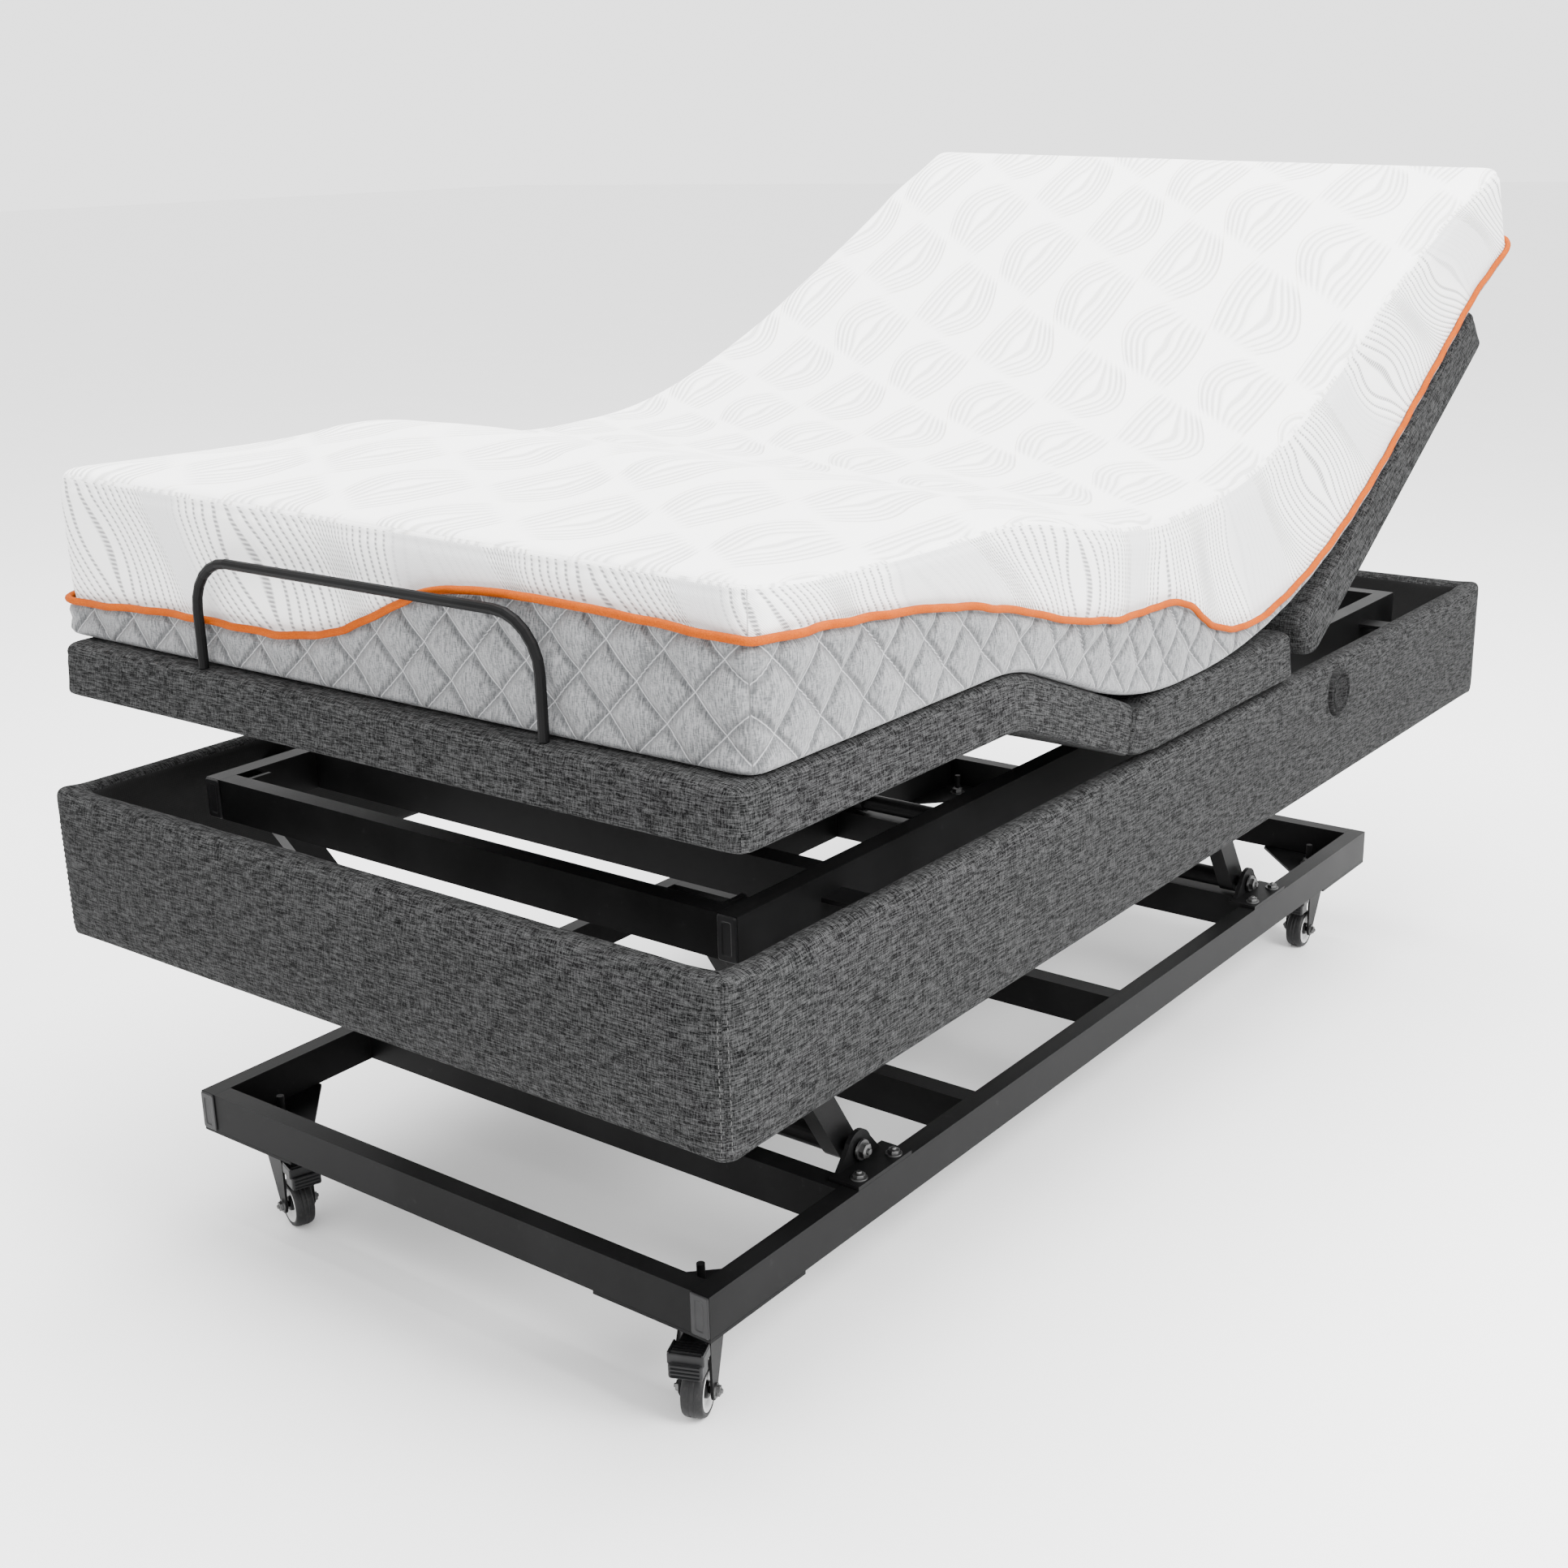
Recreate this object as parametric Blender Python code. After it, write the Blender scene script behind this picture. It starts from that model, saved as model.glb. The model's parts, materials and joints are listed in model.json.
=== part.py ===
"""Adjustable bed base with its mattress: floor frame on casters, parallelogram lift, padded surround,
four-part hinged deck and a mattress that follows the deck.

X runs across the bed, +Y towards the head end, +Z up, in metres. The floor is z = 0.
Places are given in bed coordinates, whose y = 0 is the middle of the surround. The empty "bed" then
shifts everything so that the origin lies on the floor under the middle of the whole object.
"""

import math

import bmesh
import bpy
from mathutils import Matrix, Vector

# ---- driving dimensions -------------------------------------------------------------------------

CENTRE_SHIFT = -0.0029  # the raised mattress reaches past the head end by more than the surround does
GAP = 0.0003  # between pieces that touch

TUBE_WIDTH = 0.026  # rectangular steel tube of both frames
TUBE_HEIGHT = 0.052
TUBE_WALL = 0.002
CROSS_BAR_WIDTH = 0.030

BASE_WIDTH = 0.856
BASE_LENGTH = 1.787
BASE_Y = -0.0415
BASE_TOP = 0.193
BASE_CROSS_BAR_Y = (-0.655, -0.38, 0.005, 0.46)

GUSSET_LEG = 0.17
GUSSET_THICKNESS = 0.004
STEM_INSET = 0.070  # caster stem from the outer corner of the base, both ways
STEM_RADIUS = 0.005
STEM_TOP = 0.176

WHEEL_RADIUS = 0.0325
WHEEL_SIDES = 24
AXLE_HEIGHT = WHEEL_RADIUS * math.cos(math.pi / WHEEL_SIDES)  # one flat of the tyre lies on the floor
WHEEL_HALF_WIDTH = 0.013
CASTER_TRAIL = 0.026
FORK_HALF_WIDTH = 0.0202
FORK_LEG = 0.003
# corner name: side of X, end of Y, heading of the trail in degrees from +X
CASTERS = {
    "foot_left": (-1, -1, -19.0),
    "foot_right": (1, -1, -67.0),
    "head_left": (-1, 1, -60.0),
    "head_right": (1, 1, -87.0),
}

ARM_LENGTH = 0.41
ARM_ANGLE = 58.0  # degrees above the horizontal, leaning to the foot end
ARM_X = 0.36
ARM_THICKNESS = 0.025
ARM_HALF_HEIGHT = 0.018
FRONT_PIVOT_Y = -0.605
REAR_PIVOT_Y = 0.465
LOWER_PIVOT_Z = 0.213
PIVOT_RADIUS = 0.008
TORSION_RADIUS = 0.015
EAR_X = (0.384, 0.390)
PIVOT_CLEARANCE = 0.0008

UPPER_WIDTH = 0.860
UPPER_Y = (-0.870, 0.900)
UPPER_TOP = 0.605
UPPER_CROSS_BAR_Y = (-0.70, 0.03, 0.38)

SURROUND_HALF_WIDTH = 0.540
SURROUND_HALF_LENGTH = 1.030
SURROUND_Z = (0.417, 0.616)
SURROUND_WALL = 0.036

DECK_HALF_WIDTH = 0.540
DECK_THICKNESS = 0.067
DECK_BOTTOM = 0.6175
HINGE_Z = DECK_BOTTOM + DECK_THICKNESS / 2
HEAD_HINGE_Y = 0.290
THIGH_HINGE_Y = -0.200
THIGH_LENGTH = 0.3028
FOOT_LENGTH = 0.509
HEAD_LENGTH = 0.745
HEAD_ANGLE = 32.5
THIGH_ANGLE = 20.8
SEAT_END_HEAD = 0.026  # gaps from each hinge axis to the end faces beside it
SEAT_END_THIGH = 0.020
HEAD_START = 0.014
THIGH_START = 0.012

HEAD_RANGE = (-32.5, 25.0)
THIGH_RANGE = (-20.8, 14.0)
LIFT_RANGE = (-38.0, 6.0)

MATTRESS_HALF_WIDTH = 0.530
MATTRESS_THICKNESS = 0.185
MATTRESS_HEAD_END = 0.925  # from the head hinge
MATTRESS_FOOT_GAP = 0.032  # from the end of the foot section

CRANK_RADIUS = 0.055
LIFT_CRANK_RADIUS = 0.050
CRANK_HALF_WIDTH = 0.007
CRANK_PIN_RADIUS = 0.005
CRANK_THICKNESS = 0.006
HINGE_TUBE_RADIUS = 0.007
SLOT_CLEARANCE = 0.0014
SLOT_HALF_LENGTH = 0.005
ROD_PLATE = 0.008
ROD_RADIUS = 0.008
ROD_NECK = 0.026  # flat neck between the slotted end and the round rod, clear of the crank
HEAD_ROD_X = 0.12
LEG_ROD_X = -0.06
LIFT_ROD_X = 0.0

RETAINER_HALF_WIDTH = 0.27
RETAINER_HEIGHT = 0.128
RETAINER_CORNER = 0.06
RETAINER_RADIUS = 0.006

# ---- scene, materials and bodies ----------------------------------------------------------------


def clear_scene():
    for obj in list(bpy.data.objects):
        bpy.data.objects.remove(obj, do_unlink=True)


def material(name, colour, roughness, metallic=0.0):
    mat = bpy.data.materials.new(name)
    mat.use_nodes = True
    shader = mat.node_tree.nodes["Principled BSDF"]
    shader.inputs["Base Color"].default_value = (*colour, 1.0)
    shader.inputs["Roughness"].default_value = roughness
    shader.inputs["Metallic"].default_value = metallic
    return mat


def empty(name, parent=None, location=(0, 0, 0), rotation=(0, 0, 0)):
    obj = bpy.data.objects.new(name, None)
    obj.empty_display_size = 0.05
    obj.parent = parent
    obj.location = location
    obj.rotation_euler = [math.radians(a) for a in rotation]
    bpy.context.scene.collection.objects.link(obj)
    return obj


def add(name, mesh, mat, parent, location=(0, 0, 0), rotation=(0, 0, 0), smooth=False):
    """One object from a mesh; the mesh may be shared by several objects."""
    if not mesh.materials:
        mesh.materials.append(mat)
    if smooth:
        mesh.shade_smooth()
        mesh.set_sharp_from_angle(angle=math.radians(35))
    obj = bpy.data.objects.new(name, mesh)
    obj.parent = parent
    obj.location = location
    obj.rotation_euler = [math.radians(a) for a in rotation]
    bpy.context.scene.collection.objects.link(obj)
    return obj


def to_mesh(bm, name="body"):
    bmesh.ops.recalc_face_normals(bm, faces=bm.faces)
    mesh = bpy.data.meshes.new(name)
    bm.to_mesh(mesh)
    bm.free()
    return mesh


def combine(base, joined=(), cut=()):
    """Mesh of the base united with the joined bodies, less the cutters."""
    body = bpy.data.objects.new("body", base)
    bpy.context.scene.collection.objects.link(body)
    tools = []
    for operation, meshes in (("UNION", joined), ("DIFFERENCE", cut)):
        for mesh in meshes:
            tool = bpy.data.objects.new("tool", mesh)
            bpy.context.scene.collection.objects.link(tool)
            tools.append(tool)
            modifier = body.modifiers.new(operation, "BOOLEAN")
            modifier.operation = operation
            modifier.solver = "EXACT"
            modifier.object = tool
    graph = bpy.context.evaluated_depsgraph_get()
    result = bpy.data.meshes.new_from_object(body.evaluated_get(graph))
    for obj in [body, *tools]:
        bpy.data.objects.remove(obj, do_unlink=True)
    return result


# ---- basic shapes -------------------------------------------------------------------------------


def box(low, high, bevel=0.0, segments=2):
    bm = bmesh.new()
    low, high = Vector(low), Vector(high)
    bmesh.ops.create_cube(bm, size=1.0, matrix=Matrix.LocRotScale((low + high) / 2, None, high - low))
    if bevel:
        bmesh.ops.bevel(
            bm, geom=bm.edges[:], offset=bevel, segments=segments, profile=0.5, affect="EDGES"
        )
    return to_mesh(bm)


def cylinder(radius, start, end, segments=24):
    start, end = Vector(start), Vector(end)
    turn = (end - start).to_track_quat("Z", "Y").to_matrix().to_4x4()
    bm = bmesh.new()
    bmesh.ops.create_cone(
        bm,
        cap_ends=True,
        segments=segments,
        radius1=radius,
        radius2=radius,
        depth=(end - start).length,
        matrix=Matrix.Translation((start + end) / 2) @ turn,
    )
    return to_mesh(bm)


def box_tube(length, width, height, axis):
    """Open-ended rectangular tube along X or Y, centred on its own origin."""
    bm = bmesh.new()
    rings = []
    for end in (-length / 2, length / 2):
        for wall in (0, TUBE_WALL):
            a, b = width / 2 - wall, height / 2 - wall
            corners = ((-a, -b), (a, -b), (a, b), (-a, b))
            place = [(s, end, t) if axis == "Y" else (end, s, t) for s, t in corners]
            rings.append([bm.verts.new(p) for p in place])
    outer_0, inner_0, outer_1, inner_1 = rings
    for one, two in ((outer_0, outer_1), (inner_1, inner_0), (inner_0, outer_0), (outer_1, inner_1)):
        for i in range(4):
            j = (i + 1) % 4
            bm.faces.new((one[i], one[j], two[j], two[i]))
    return to_mesh(bm)


def prism_x(outline, x_low, x_high, holes=()):
    """Plate or block whose (y, z) outline runs along X; holes are (y, z) loops through it."""
    bm = bmesh.new()
    edges = []
    for loop in (outline, *holes):
        verts = [bm.verts.new((x_low, y, z)) for y, z in loop]
        edges += [bm.edges.new((verts[i], verts[i - 1])) for i in range(len(verts))]
    faces = bmesh.ops.triangle_fill(bm, edges=edges, use_beauty=True, use_dissolve=False)["geom"]
    faces = [f for f in faces if isinstance(f, bmesh.types.BMFace)]
    extruded = bmesh.ops.extrude_face_region(bm, geom=faces)["geom"]
    moved = [v for v in extruded if isinstance(v, bmesh.types.BMVert)]
    bmesh.ops.translate(bm, verts=moved, vec=(x_high - x_low, 0, 0))
    bm.faces.ensure_lookup_table()
    return to_mesh(bm)


def turned_y(profile, segments):
    """Ring body turned about the Y axis; the profile is a closed loop of (radius, y)."""
    bm = bmesh.new()
    rings = []
    for s in range(segments):
        angle = 2 * math.pi * (s + 0.5) / segments
        c, n = math.cos(angle), math.sin(angle)
        rings.append([bm.verts.new((r * c, y, r * n)) for r, y in profile])
    for s in range(segments):
        one, two = rings[s], rings[(s + 1) % segments]
        for i in range(len(profile)):
            j = (i + 1) % len(profile)
            bm.faces.new((one[i], one[j], two[j], two[i]))
    return to_mesh(bm)


def arc(centre, radius, start, end, steps):
    """Points of an arc in a plane, angles in degrees."""
    points = []
    for i in range(steps + 1):
        angle = math.radians(start + (end - start) * i / steps)
        points.append((centre[0] + radius * math.cos(angle), centre[1] + radius * math.sin(angle)))
    return points


def stadium(start, end, radius, steps=8):
    """Outline around a straight line in the (y, z) plane, with round ends."""
    heading = math.degrees(math.atan2(end[1] - start[1], end[0] - start[0]))
    return arc(end, radius, heading - 90, heading + 90, steps) + arc(
        start, radius, heading + 90, heading + 270, steps
    )


# ---- floor frame --------------------------------------------------------------------------------


def make_base(bed, steel):
    half = BASE_WIDTH / 2
    z = BASE_TOP - TUBE_HEIGHT / 2
    side = box_tube(BASE_LENGTH, TUBE_WIDTH, TUBE_HEIGHT, "Y")
    for name, sign in (("left", -1), ("right", 1)):
        add("base_rail_" + name, side, steel, bed, (sign * (half - TUBE_WIDTH / 2), BASE_Y, z))
    inner = BASE_WIDTH - 2 * TUBE_WIDTH - 2 * GAP
    end = box_tube(inner, TUBE_WIDTH, TUBE_HEIGHT, "X")
    for name, sign in (("foot", -1), ("head", 1)):
        y = BASE_Y + sign * (BASE_LENGTH / 2 - TUBE_WIDTH / 2)
        add("base_rail_" + name, end, steel, bed, (0, y, z))
    bar = box_tube(inner, CROSS_BAR_WIDTH, TUBE_HEIGHT, "X")
    for number, y in enumerate(BASE_CROSS_BAR_Y, 1):
        add("base_cross_bar_%d" % number, bar, steel, bed, (0, y, z))


def make_gusset():
    """Triangular plate with cut tips, its square corner at the origin, reaching along -X and -Y."""
    tip = 0.03
    bm = bmesh.new()
    outline = [(0, 0), (-GUSSET_LEG, 0), (-GUSSET_LEG, -tip), (-tip, -GUSSET_LEG), (0, -GUSSET_LEG)]
    face = bm.faces.new([bm.verts.new((x, y, 0)) for x, y in outline])
    moved = bmesh.ops.extrude_face_region(bm, geom=[face])["geom"]
    verts = [v for v in moved if isinstance(v, bmesh.types.BMVert)]
    bmesh.ops.translate(bm, verts=verts, vec=(0, 0, GUSSET_THICKNESS))
    hole = cylinder(
        STEM_RADIUS + PIVOT_CLEARANCE, (-STEM_INSET, -STEM_INSET, -0.01), (-STEM_INSET, -STEM_INSET, 0.02)
    )
    return combine(to_mesh(bm), cut=[hole])


def make_gussets(bed, steel):
    z = BASE_TOP - TUBE_HEIGHT - GAP - GUSSET_THICKNESS
    # the square corner turned into each of the four corners of the base
    turns = {("left", "foot"): 180, ("right", "foot"): -90, ("left", "head"): 90, ("right", "head"): 0}
    for (side, end), turn in turns.items():
        x = (1 if side == "right" else -1) * BASE_WIDTH / 2
        y = BASE_Y + (1 if end == "head" else -1) * BASE_LENGTH / 2
        add("corner_gusset_%s_%s" % (end, side), make_gusset(), steel, bed, (x, y, z), (0, 0, turn))


def make_arm_brackets(bed, steel):
    """Bolted angle on the side rail: a flat foot, and an ear with the hole of the arm's pivot."""
    foot_half, ear_radius, foot_thick = 0.055, 0.024, 0.005
    low = BASE_TOP + GAP - LOWER_PIVOT_Z
    base = box((EAR_X[0], -foot_half, low), (BASE_WIDTH / 2, foot_half, low + foot_thick))
    ear = [(-0.045, low + 0.001), (0.045, low + 0.001)] + arc((0, 0), ear_radius, 20, 160, 10)
    ear_mesh = prism_x(ear, EAR_X[0], EAR_X[1])
    hole = cylinder(PIVOT_RADIUS + PIVOT_CLEARANCE, (EAR_X[0] - 0.01, 0, 0), (EAR_X[1] + 0.01, 0, 0))
    mesh = combine(base, [ear_mesh], [hole])
    for end, y in (("front", FRONT_PIVOT_Y), ("rear", REAR_PIVOT_Y)):
        for side, turn in (("right", 0), ("left", 180)):
            name = "%s_arm_bracket_%s" % (end, side)
            add(name, mesh, steel, bed, (0, y, LOWER_PIVOT_Z), (0, 0, turn))


# ---- casters ------------------------------------------------------------------------------------


def fork_mesh():
    """Swivel housing, stem, crown, two swept legs and the axle, in one casting; +X is the trail."""
    top = BASE_TOP - TUBE_HEIGHT - 2 * GAP - GUSSET_THICKNESS
    crown_z = 0.110
    leg_inner = FORK_HALF_WIDTH - FORK_LEG
    housing = cylinder(0.0235, (0, 0, crown_z), (0, 0, top))
    stem = cylinder(STEM_RADIUS, (0, 0, top - 0.002), (0, 0, STEM_TOP), 16)
    crown = box((-0.022, -FORK_HALF_WIDTH, crown_z - 0.004), (0.028, FORK_HALF_WIDTH, crown_z + 0.004))
    axle_z = AXLE_HEIGHT
    outline = [(-0.022, crown_z + 0.003), (-0.020, 0.096), (0.012, axle_z + 0.010)]
    outline += arc((CASTER_TRAIL, axle_z), 0.011, 160, 360, 8)
    outline += [(0.038, 0.080), (0.038, 0.098), (0.028, crown_z + 0.003)]
    legs = []
    for y_low in (-FORK_HALF_WIDTH, leg_inner):
        leg = prism_x(outline, y_low, y_low + FORK_LEG)
        # the prism runs along X with (y, z) outline: turn it so that the outline lies in (x, z)
        leg.transform(Matrix(((0, 1, 0, 0), (1, 0, 0, 0), (0, 0, 1, 0), (0, 0, 0, 1))))
        leg.flip_normals()
        legs.append(leg)
    reach = FORK_HALF_WIDTH + 0.002
    axle = cylinder(0.004, (CASTER_TRAIL, -reach, axle_z), (CASTER_TRAIL, reach, axle_z), 16)
    return combine(housing, [stem, crown, *legs, axle])


def wheel_mesh():
    """Wheel about its own axle: hub, recessed web, rim lip and rounded tyre."""
    w = WHEEL_HALF_WIDTH
    half = [(0.0046, w), (0.0100, w), (0.0115, 0.008), (0.0220, 0.008), (0.0238, w), (0.0285, w)]
    half.append((WHEEL_RADIUS, 0.008))
    profile = half + [(r, -y) for r, y in reversed(half)]
    return turned_y(profile, WHEEL_SIDES)


def pedal_mesh():
    """Brake pedal about its pivot: a stem between the fork's legs and a wide step behind them."""
    stem = box((-0.006, -0.0150, -0.006), (0.020, 0.0150, 0.007))
    step = box((0.0130, -0.0215, -0.006), (0.0400, 0.0215, 0.008), 0.002)
    lower = box((0.0180, -0.0200, -0.022), (0.0430, 0.0200, -0.003), 0.003)
    return combine(stem, [step, lower])


def make_casters(bed, steel, rubber, plastic):
    fork, wheel, pedal = fork_mesh(), wheel_mesh(), pedal_mesh()
    for corner, (side, end, heading) in CASTERS.items():
        x = side * (BASE_WIDTH / 2 - STEM_INSET)
        y = BASE_Y + end * (BASE_LENGTH / 2 - STEM_INSET)
        swivel = empty("caster_%s_swivel" % corner, bed, (x, y, 0), (0, 0, heading))
        add("caster_fork_" + corner, fork, steel, swivel, smooth=True)
        add("caster_wheel_" + corner, wheel, rubber, swivel, (CASTER_TRAIL, 0, AXLE_HEIGHT), smooth=True)
        add("caster_pedal_" + corner, pedal, plastic, swivel, (0.030, 0, 0.095))


# ---- lift ---------------------------------------------------------------------------------------


def crank(radius, x, inner_sign):
    """Crank arm hanging from its axis and the pin that works in the rod's slot, beside plane x."""
    near = x + inner_sign * (ROD_PLATE / 2 + 0.0015)
    far = near + inner_sign * CRANK_THICKNESS
    arm = prism_x(stadium((0, 0), (0, -radius), CRANK_HALF_WIDTH), min(near, far), max(near, far))
    pin_end = x - inner_sign * (ROD_PLATE / 2 + 0.002)
    pin_start = near + inner_sign * CRANK_THICKNESS / 2
    pin = cylinder(CRANK_PIN_RADIUS, (pin_start, 0, -radius), (pin_end, 0, -radius), 16)
    return [arm, pin]


def turned_about_x(meshes, degrees, move=(0, 0, 0)):
    for mesh in meshes:
        mesh.transform(Matrix.Translation(move) @ Matrix.Rotation(math.radians(degrees), 4, "X"))
    return meshes


def arms_mesh(with_crank):
    """Two arms along +Z from the lower pivot, joined by torsion tubes at both pivots."""
    inner = ARM_X - ARM_THICKNESS / 2 + 0.002
    stub = EAR_X[1] + 0.004
    bodies = []
    for sign in (-1, 1):
        x = sign * ARM_X
        outline = stadium((0, 0), (0, ARM_LENGTH), ARM_HALF_HEIGHT)
        bodies.append(prism_x(outline, x - ARM_THICKNESS / 2, x + ARM_THICKNESS / 2))
    for z in (0, ARM_LENGTH):
        bodies.append(cylinder(TORSION_RADIUS, (-inner, 0, z), (inner, 0, z)))
        for sign in (-1, 1):
            bodies.append(cylinder(PIVOT_RADIUS, (sign * ARM_X, 0, z), (sign * stub, 0, z)))
    if with_crank:
        mid = sum(LIFT_RANGE) / 2
        down = -(90 - ARM_ANGLE) + mid
        bodies += turned_about_x(crank(LIFT_CRANK_RADIUS, LIFT_ROD_X, 1), down, (0, 0, ARM_LENGTH))
    return combine(bodies[0], bodies[1:])


def make_lift_arms(bed, steel):
    for name, y in (("front", FRONT_PIVOT_Y), ("rear", REAR_PIVOT_Y)):
        pivot = empty(name + "_arm_pivot", bed, (0, y, LOWER_PIVOT_Z), (90 - ARM_ANGLE, 0, 0))
        add(name + "_lift_arms", arms_mesh(name == "rear"), steel, pivot)


def upper_pivot(y):
    lean = math.radians(ARM_ANGLE)
    return y - ARM_LENGTH * math.cos(lean), LOWER_PIVOT_Z + ARM_LENGTH * math.sin(lean)


# ---- upper frame and surround -------------------------------------------------------------------


def make_upper_frame(bed, steel):
    half = UPPER_WIDTH / 2
    length = UPPER_Y[1] - UPPER_Y[0]
    y_mid = sum(UPPER_Y) / 2
    z = UPPER_TOP - TUBE_HEIGHT / 2
    rail_x = half - TUBE_WIDTH / 2
    tab_reach = SURROUND_HALF_WIDTH - SURROUND_WALL - GAP - rail_x
    joined, holes = [], []
    for pivot_y in (FRONT_PIVOT_Y, REAR_PIVOT_Y):
        y, pivot_z = upper_pivot(pivot_y)
        dy, dz = y - y_mid, pivot_z - z
        x0, x1 = EAR_X[0] - rail_x, EAR_X[1] - rail_x
        ear = [(dy + 0.018, TUBE_HEIGHT / 2 - 0.004), (dy - 0.018, TUBE_HEIGHT / 2 - 0.004)]
        ear += arc((dy, dz), 0.018, 180, 360, 8)
        joined.append(prism_x(ear, x0, x1))
        web_z = TUBE_HEIGHT / 2 - 0.012
        joined.append(box((x0 + 0.001, dy - 0.017, web_z), (-TUBE_WIDTH / 2 + 0.001, dy + 0.017, web_z + 0.006)))
        holes.append(
            cylinder(PIVOT_RADIUS + PIVOT_CLEARANCE, (x0 - 0.01, dy, dz), (x1 + 0.01, dy, dz))
        )
    for tab_y in (-0.72, 0.02, 0.76):
        joined.append(box((TUBE_WIDTH / 2 - 0.001, tab_y - 0.02, -0.004), (tab_reach, tab_y + 0.02, 0.001)))
    right = combine(box_tube(length, TUBE_WIDTH, TUBE_HEIGHT, "Y"), joined, holes)
    left = right.copy()
    left.transform(Matrix.Scale(-1, 4, (1, 0, 0)))
    left.flip_normals()
    add("upper_rail_right", right, steel, bed, (rail_x, y_mid, z))
    add("upper_rail_left", left, steel, bed, (-rail_x, y_mid, z))
    inner = UPPER_WIDTH - 2 * TUBE_WIDTH - 2 * GAP
    end = box_tube(inner, TUBE_WIDTH, TUBE_HEIGHT, "X")
    add("upper_rail_foot", end, steel, bed, (0, UPPER_Y[0] + TUBE_WIDTH / 2, z))
    add("upper_rail_head", end, steel, bed, (0, UPPER_Y[1] - TUBE_WIDTH / 2, z))
    bar = box_tube(inner, CROSS_BAR_WIDTH, TUBE_HEIGHT, "X")
    for number, y in enumerate(UPPER_CROSS_BAR_Y, 1):
        add("upper_cross_bar_%d" % number, bar, steel, bed, (0, y, z))


def make_surround(bed, fabric):
    low, high = SURROUND_Z
    outer, inner = SURROUND_HALF_WIDTH, SURROUND_HALF_WIDTH - SURROUND_WALL
    end = SURROUND_HALF_LENGTH
    right = box((inner, -end, low), (outer, end, high), 0.010, 3)
    left = box((-outer, -end, low), (-inner, end, high), 0.010, 3)
    add("surround_panel_right", right, fabric, bed)
    add("surround_panel_left", left, fabric, bed)
    span = inner - GAP
    wall = SURROUND_WALL
    add("surround_panel_foot", box((-span, -end, low), (span, wall - end, high), 0.010, 3), fabric, bed)
    add("surround_panel_head", box((-span, end - wall, low), (span, end, high), 0.010, 3), fabric, bed)


# ---- actuators ----------------------------------------------------------------------------------


def rod_mesh(length, direction):
    """Push rod along Y with its slotted end plate at the origin; it reaches back against direction."""
    lift = 0.0034
    plate_radius = CRANK_PIN_RADIUS + SLOT_CLEARANCE + 0.0045
    plate = prism_x(
        stadium((0, lift - SLOT_HALF_LENGTH), (0, lift + SLOT_HALF_LENGTH), plate_radius),
        -ROD_PLATE / 2,
        ROD_PLATE / 2,
        [stadium((0, lift - SLOT_HALF_LENGTH), (0, lift + SLOT_HALF_LENGTH), CRANK_PIN_RADIUS + SLOT_CLEARANCE)],
    )
    back = -direction
    y0, y1 = sorted((back * (plate_radius - 0.003), back * (ROD_NECK + 0.004)))
    neck = box((-0.0035, y0, -0.0065), (0.0035, y1, 0.0065))
    rod = cylinder(ROD_RADIUS, (0, back * ROD_NECK, 0), (0, back * length, 0))
    return combine(plate, [neck, rod])


def housing_mesh(start, end, motor_side, tail_y):
    """Spindle tube from start to end along Y, open at the end for the rod, with its motor gearbox."""
    direction = 1 if end > start else -1
    tube = cylinder(0.015, (0, start + direction * 0.010, 0), (0, end, 0))
    bore = cylinder(ROD_RADIUS + 0.0015, (0, start + direction * 0.03, 0), (0, end + direction * 0.01, 0))
    y0, y1 = sorted((start, start + direction * 0.075))
    gearbox = box((-0.021, y0, -0.0190), (0.021, y1, 0.0155), 0.004)
    m0, m1 = sorted((motor_side * 0.018, motor_side * 0.115))
    motor = cylinder(0.0180, (m0, (y0 + y1) / 2, -0.003), (m1, (y0 + y1) / 2, -0.003))
    t0, t1 = sorted((tail_y, start + direction * 0.004))
    tail = box((-0.008, t0, -0.010), (0.008, t1, 0.010))
    return combine(tube, [gearbox, motor, tail], [bore])


def slide_rest(ratio_radius, mid, sign):
    """Where the slot stands at rest, from the pin's mid-travel place straight below its axis."""
    return -sign * ratio_radius * math.radians(mid)


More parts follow.
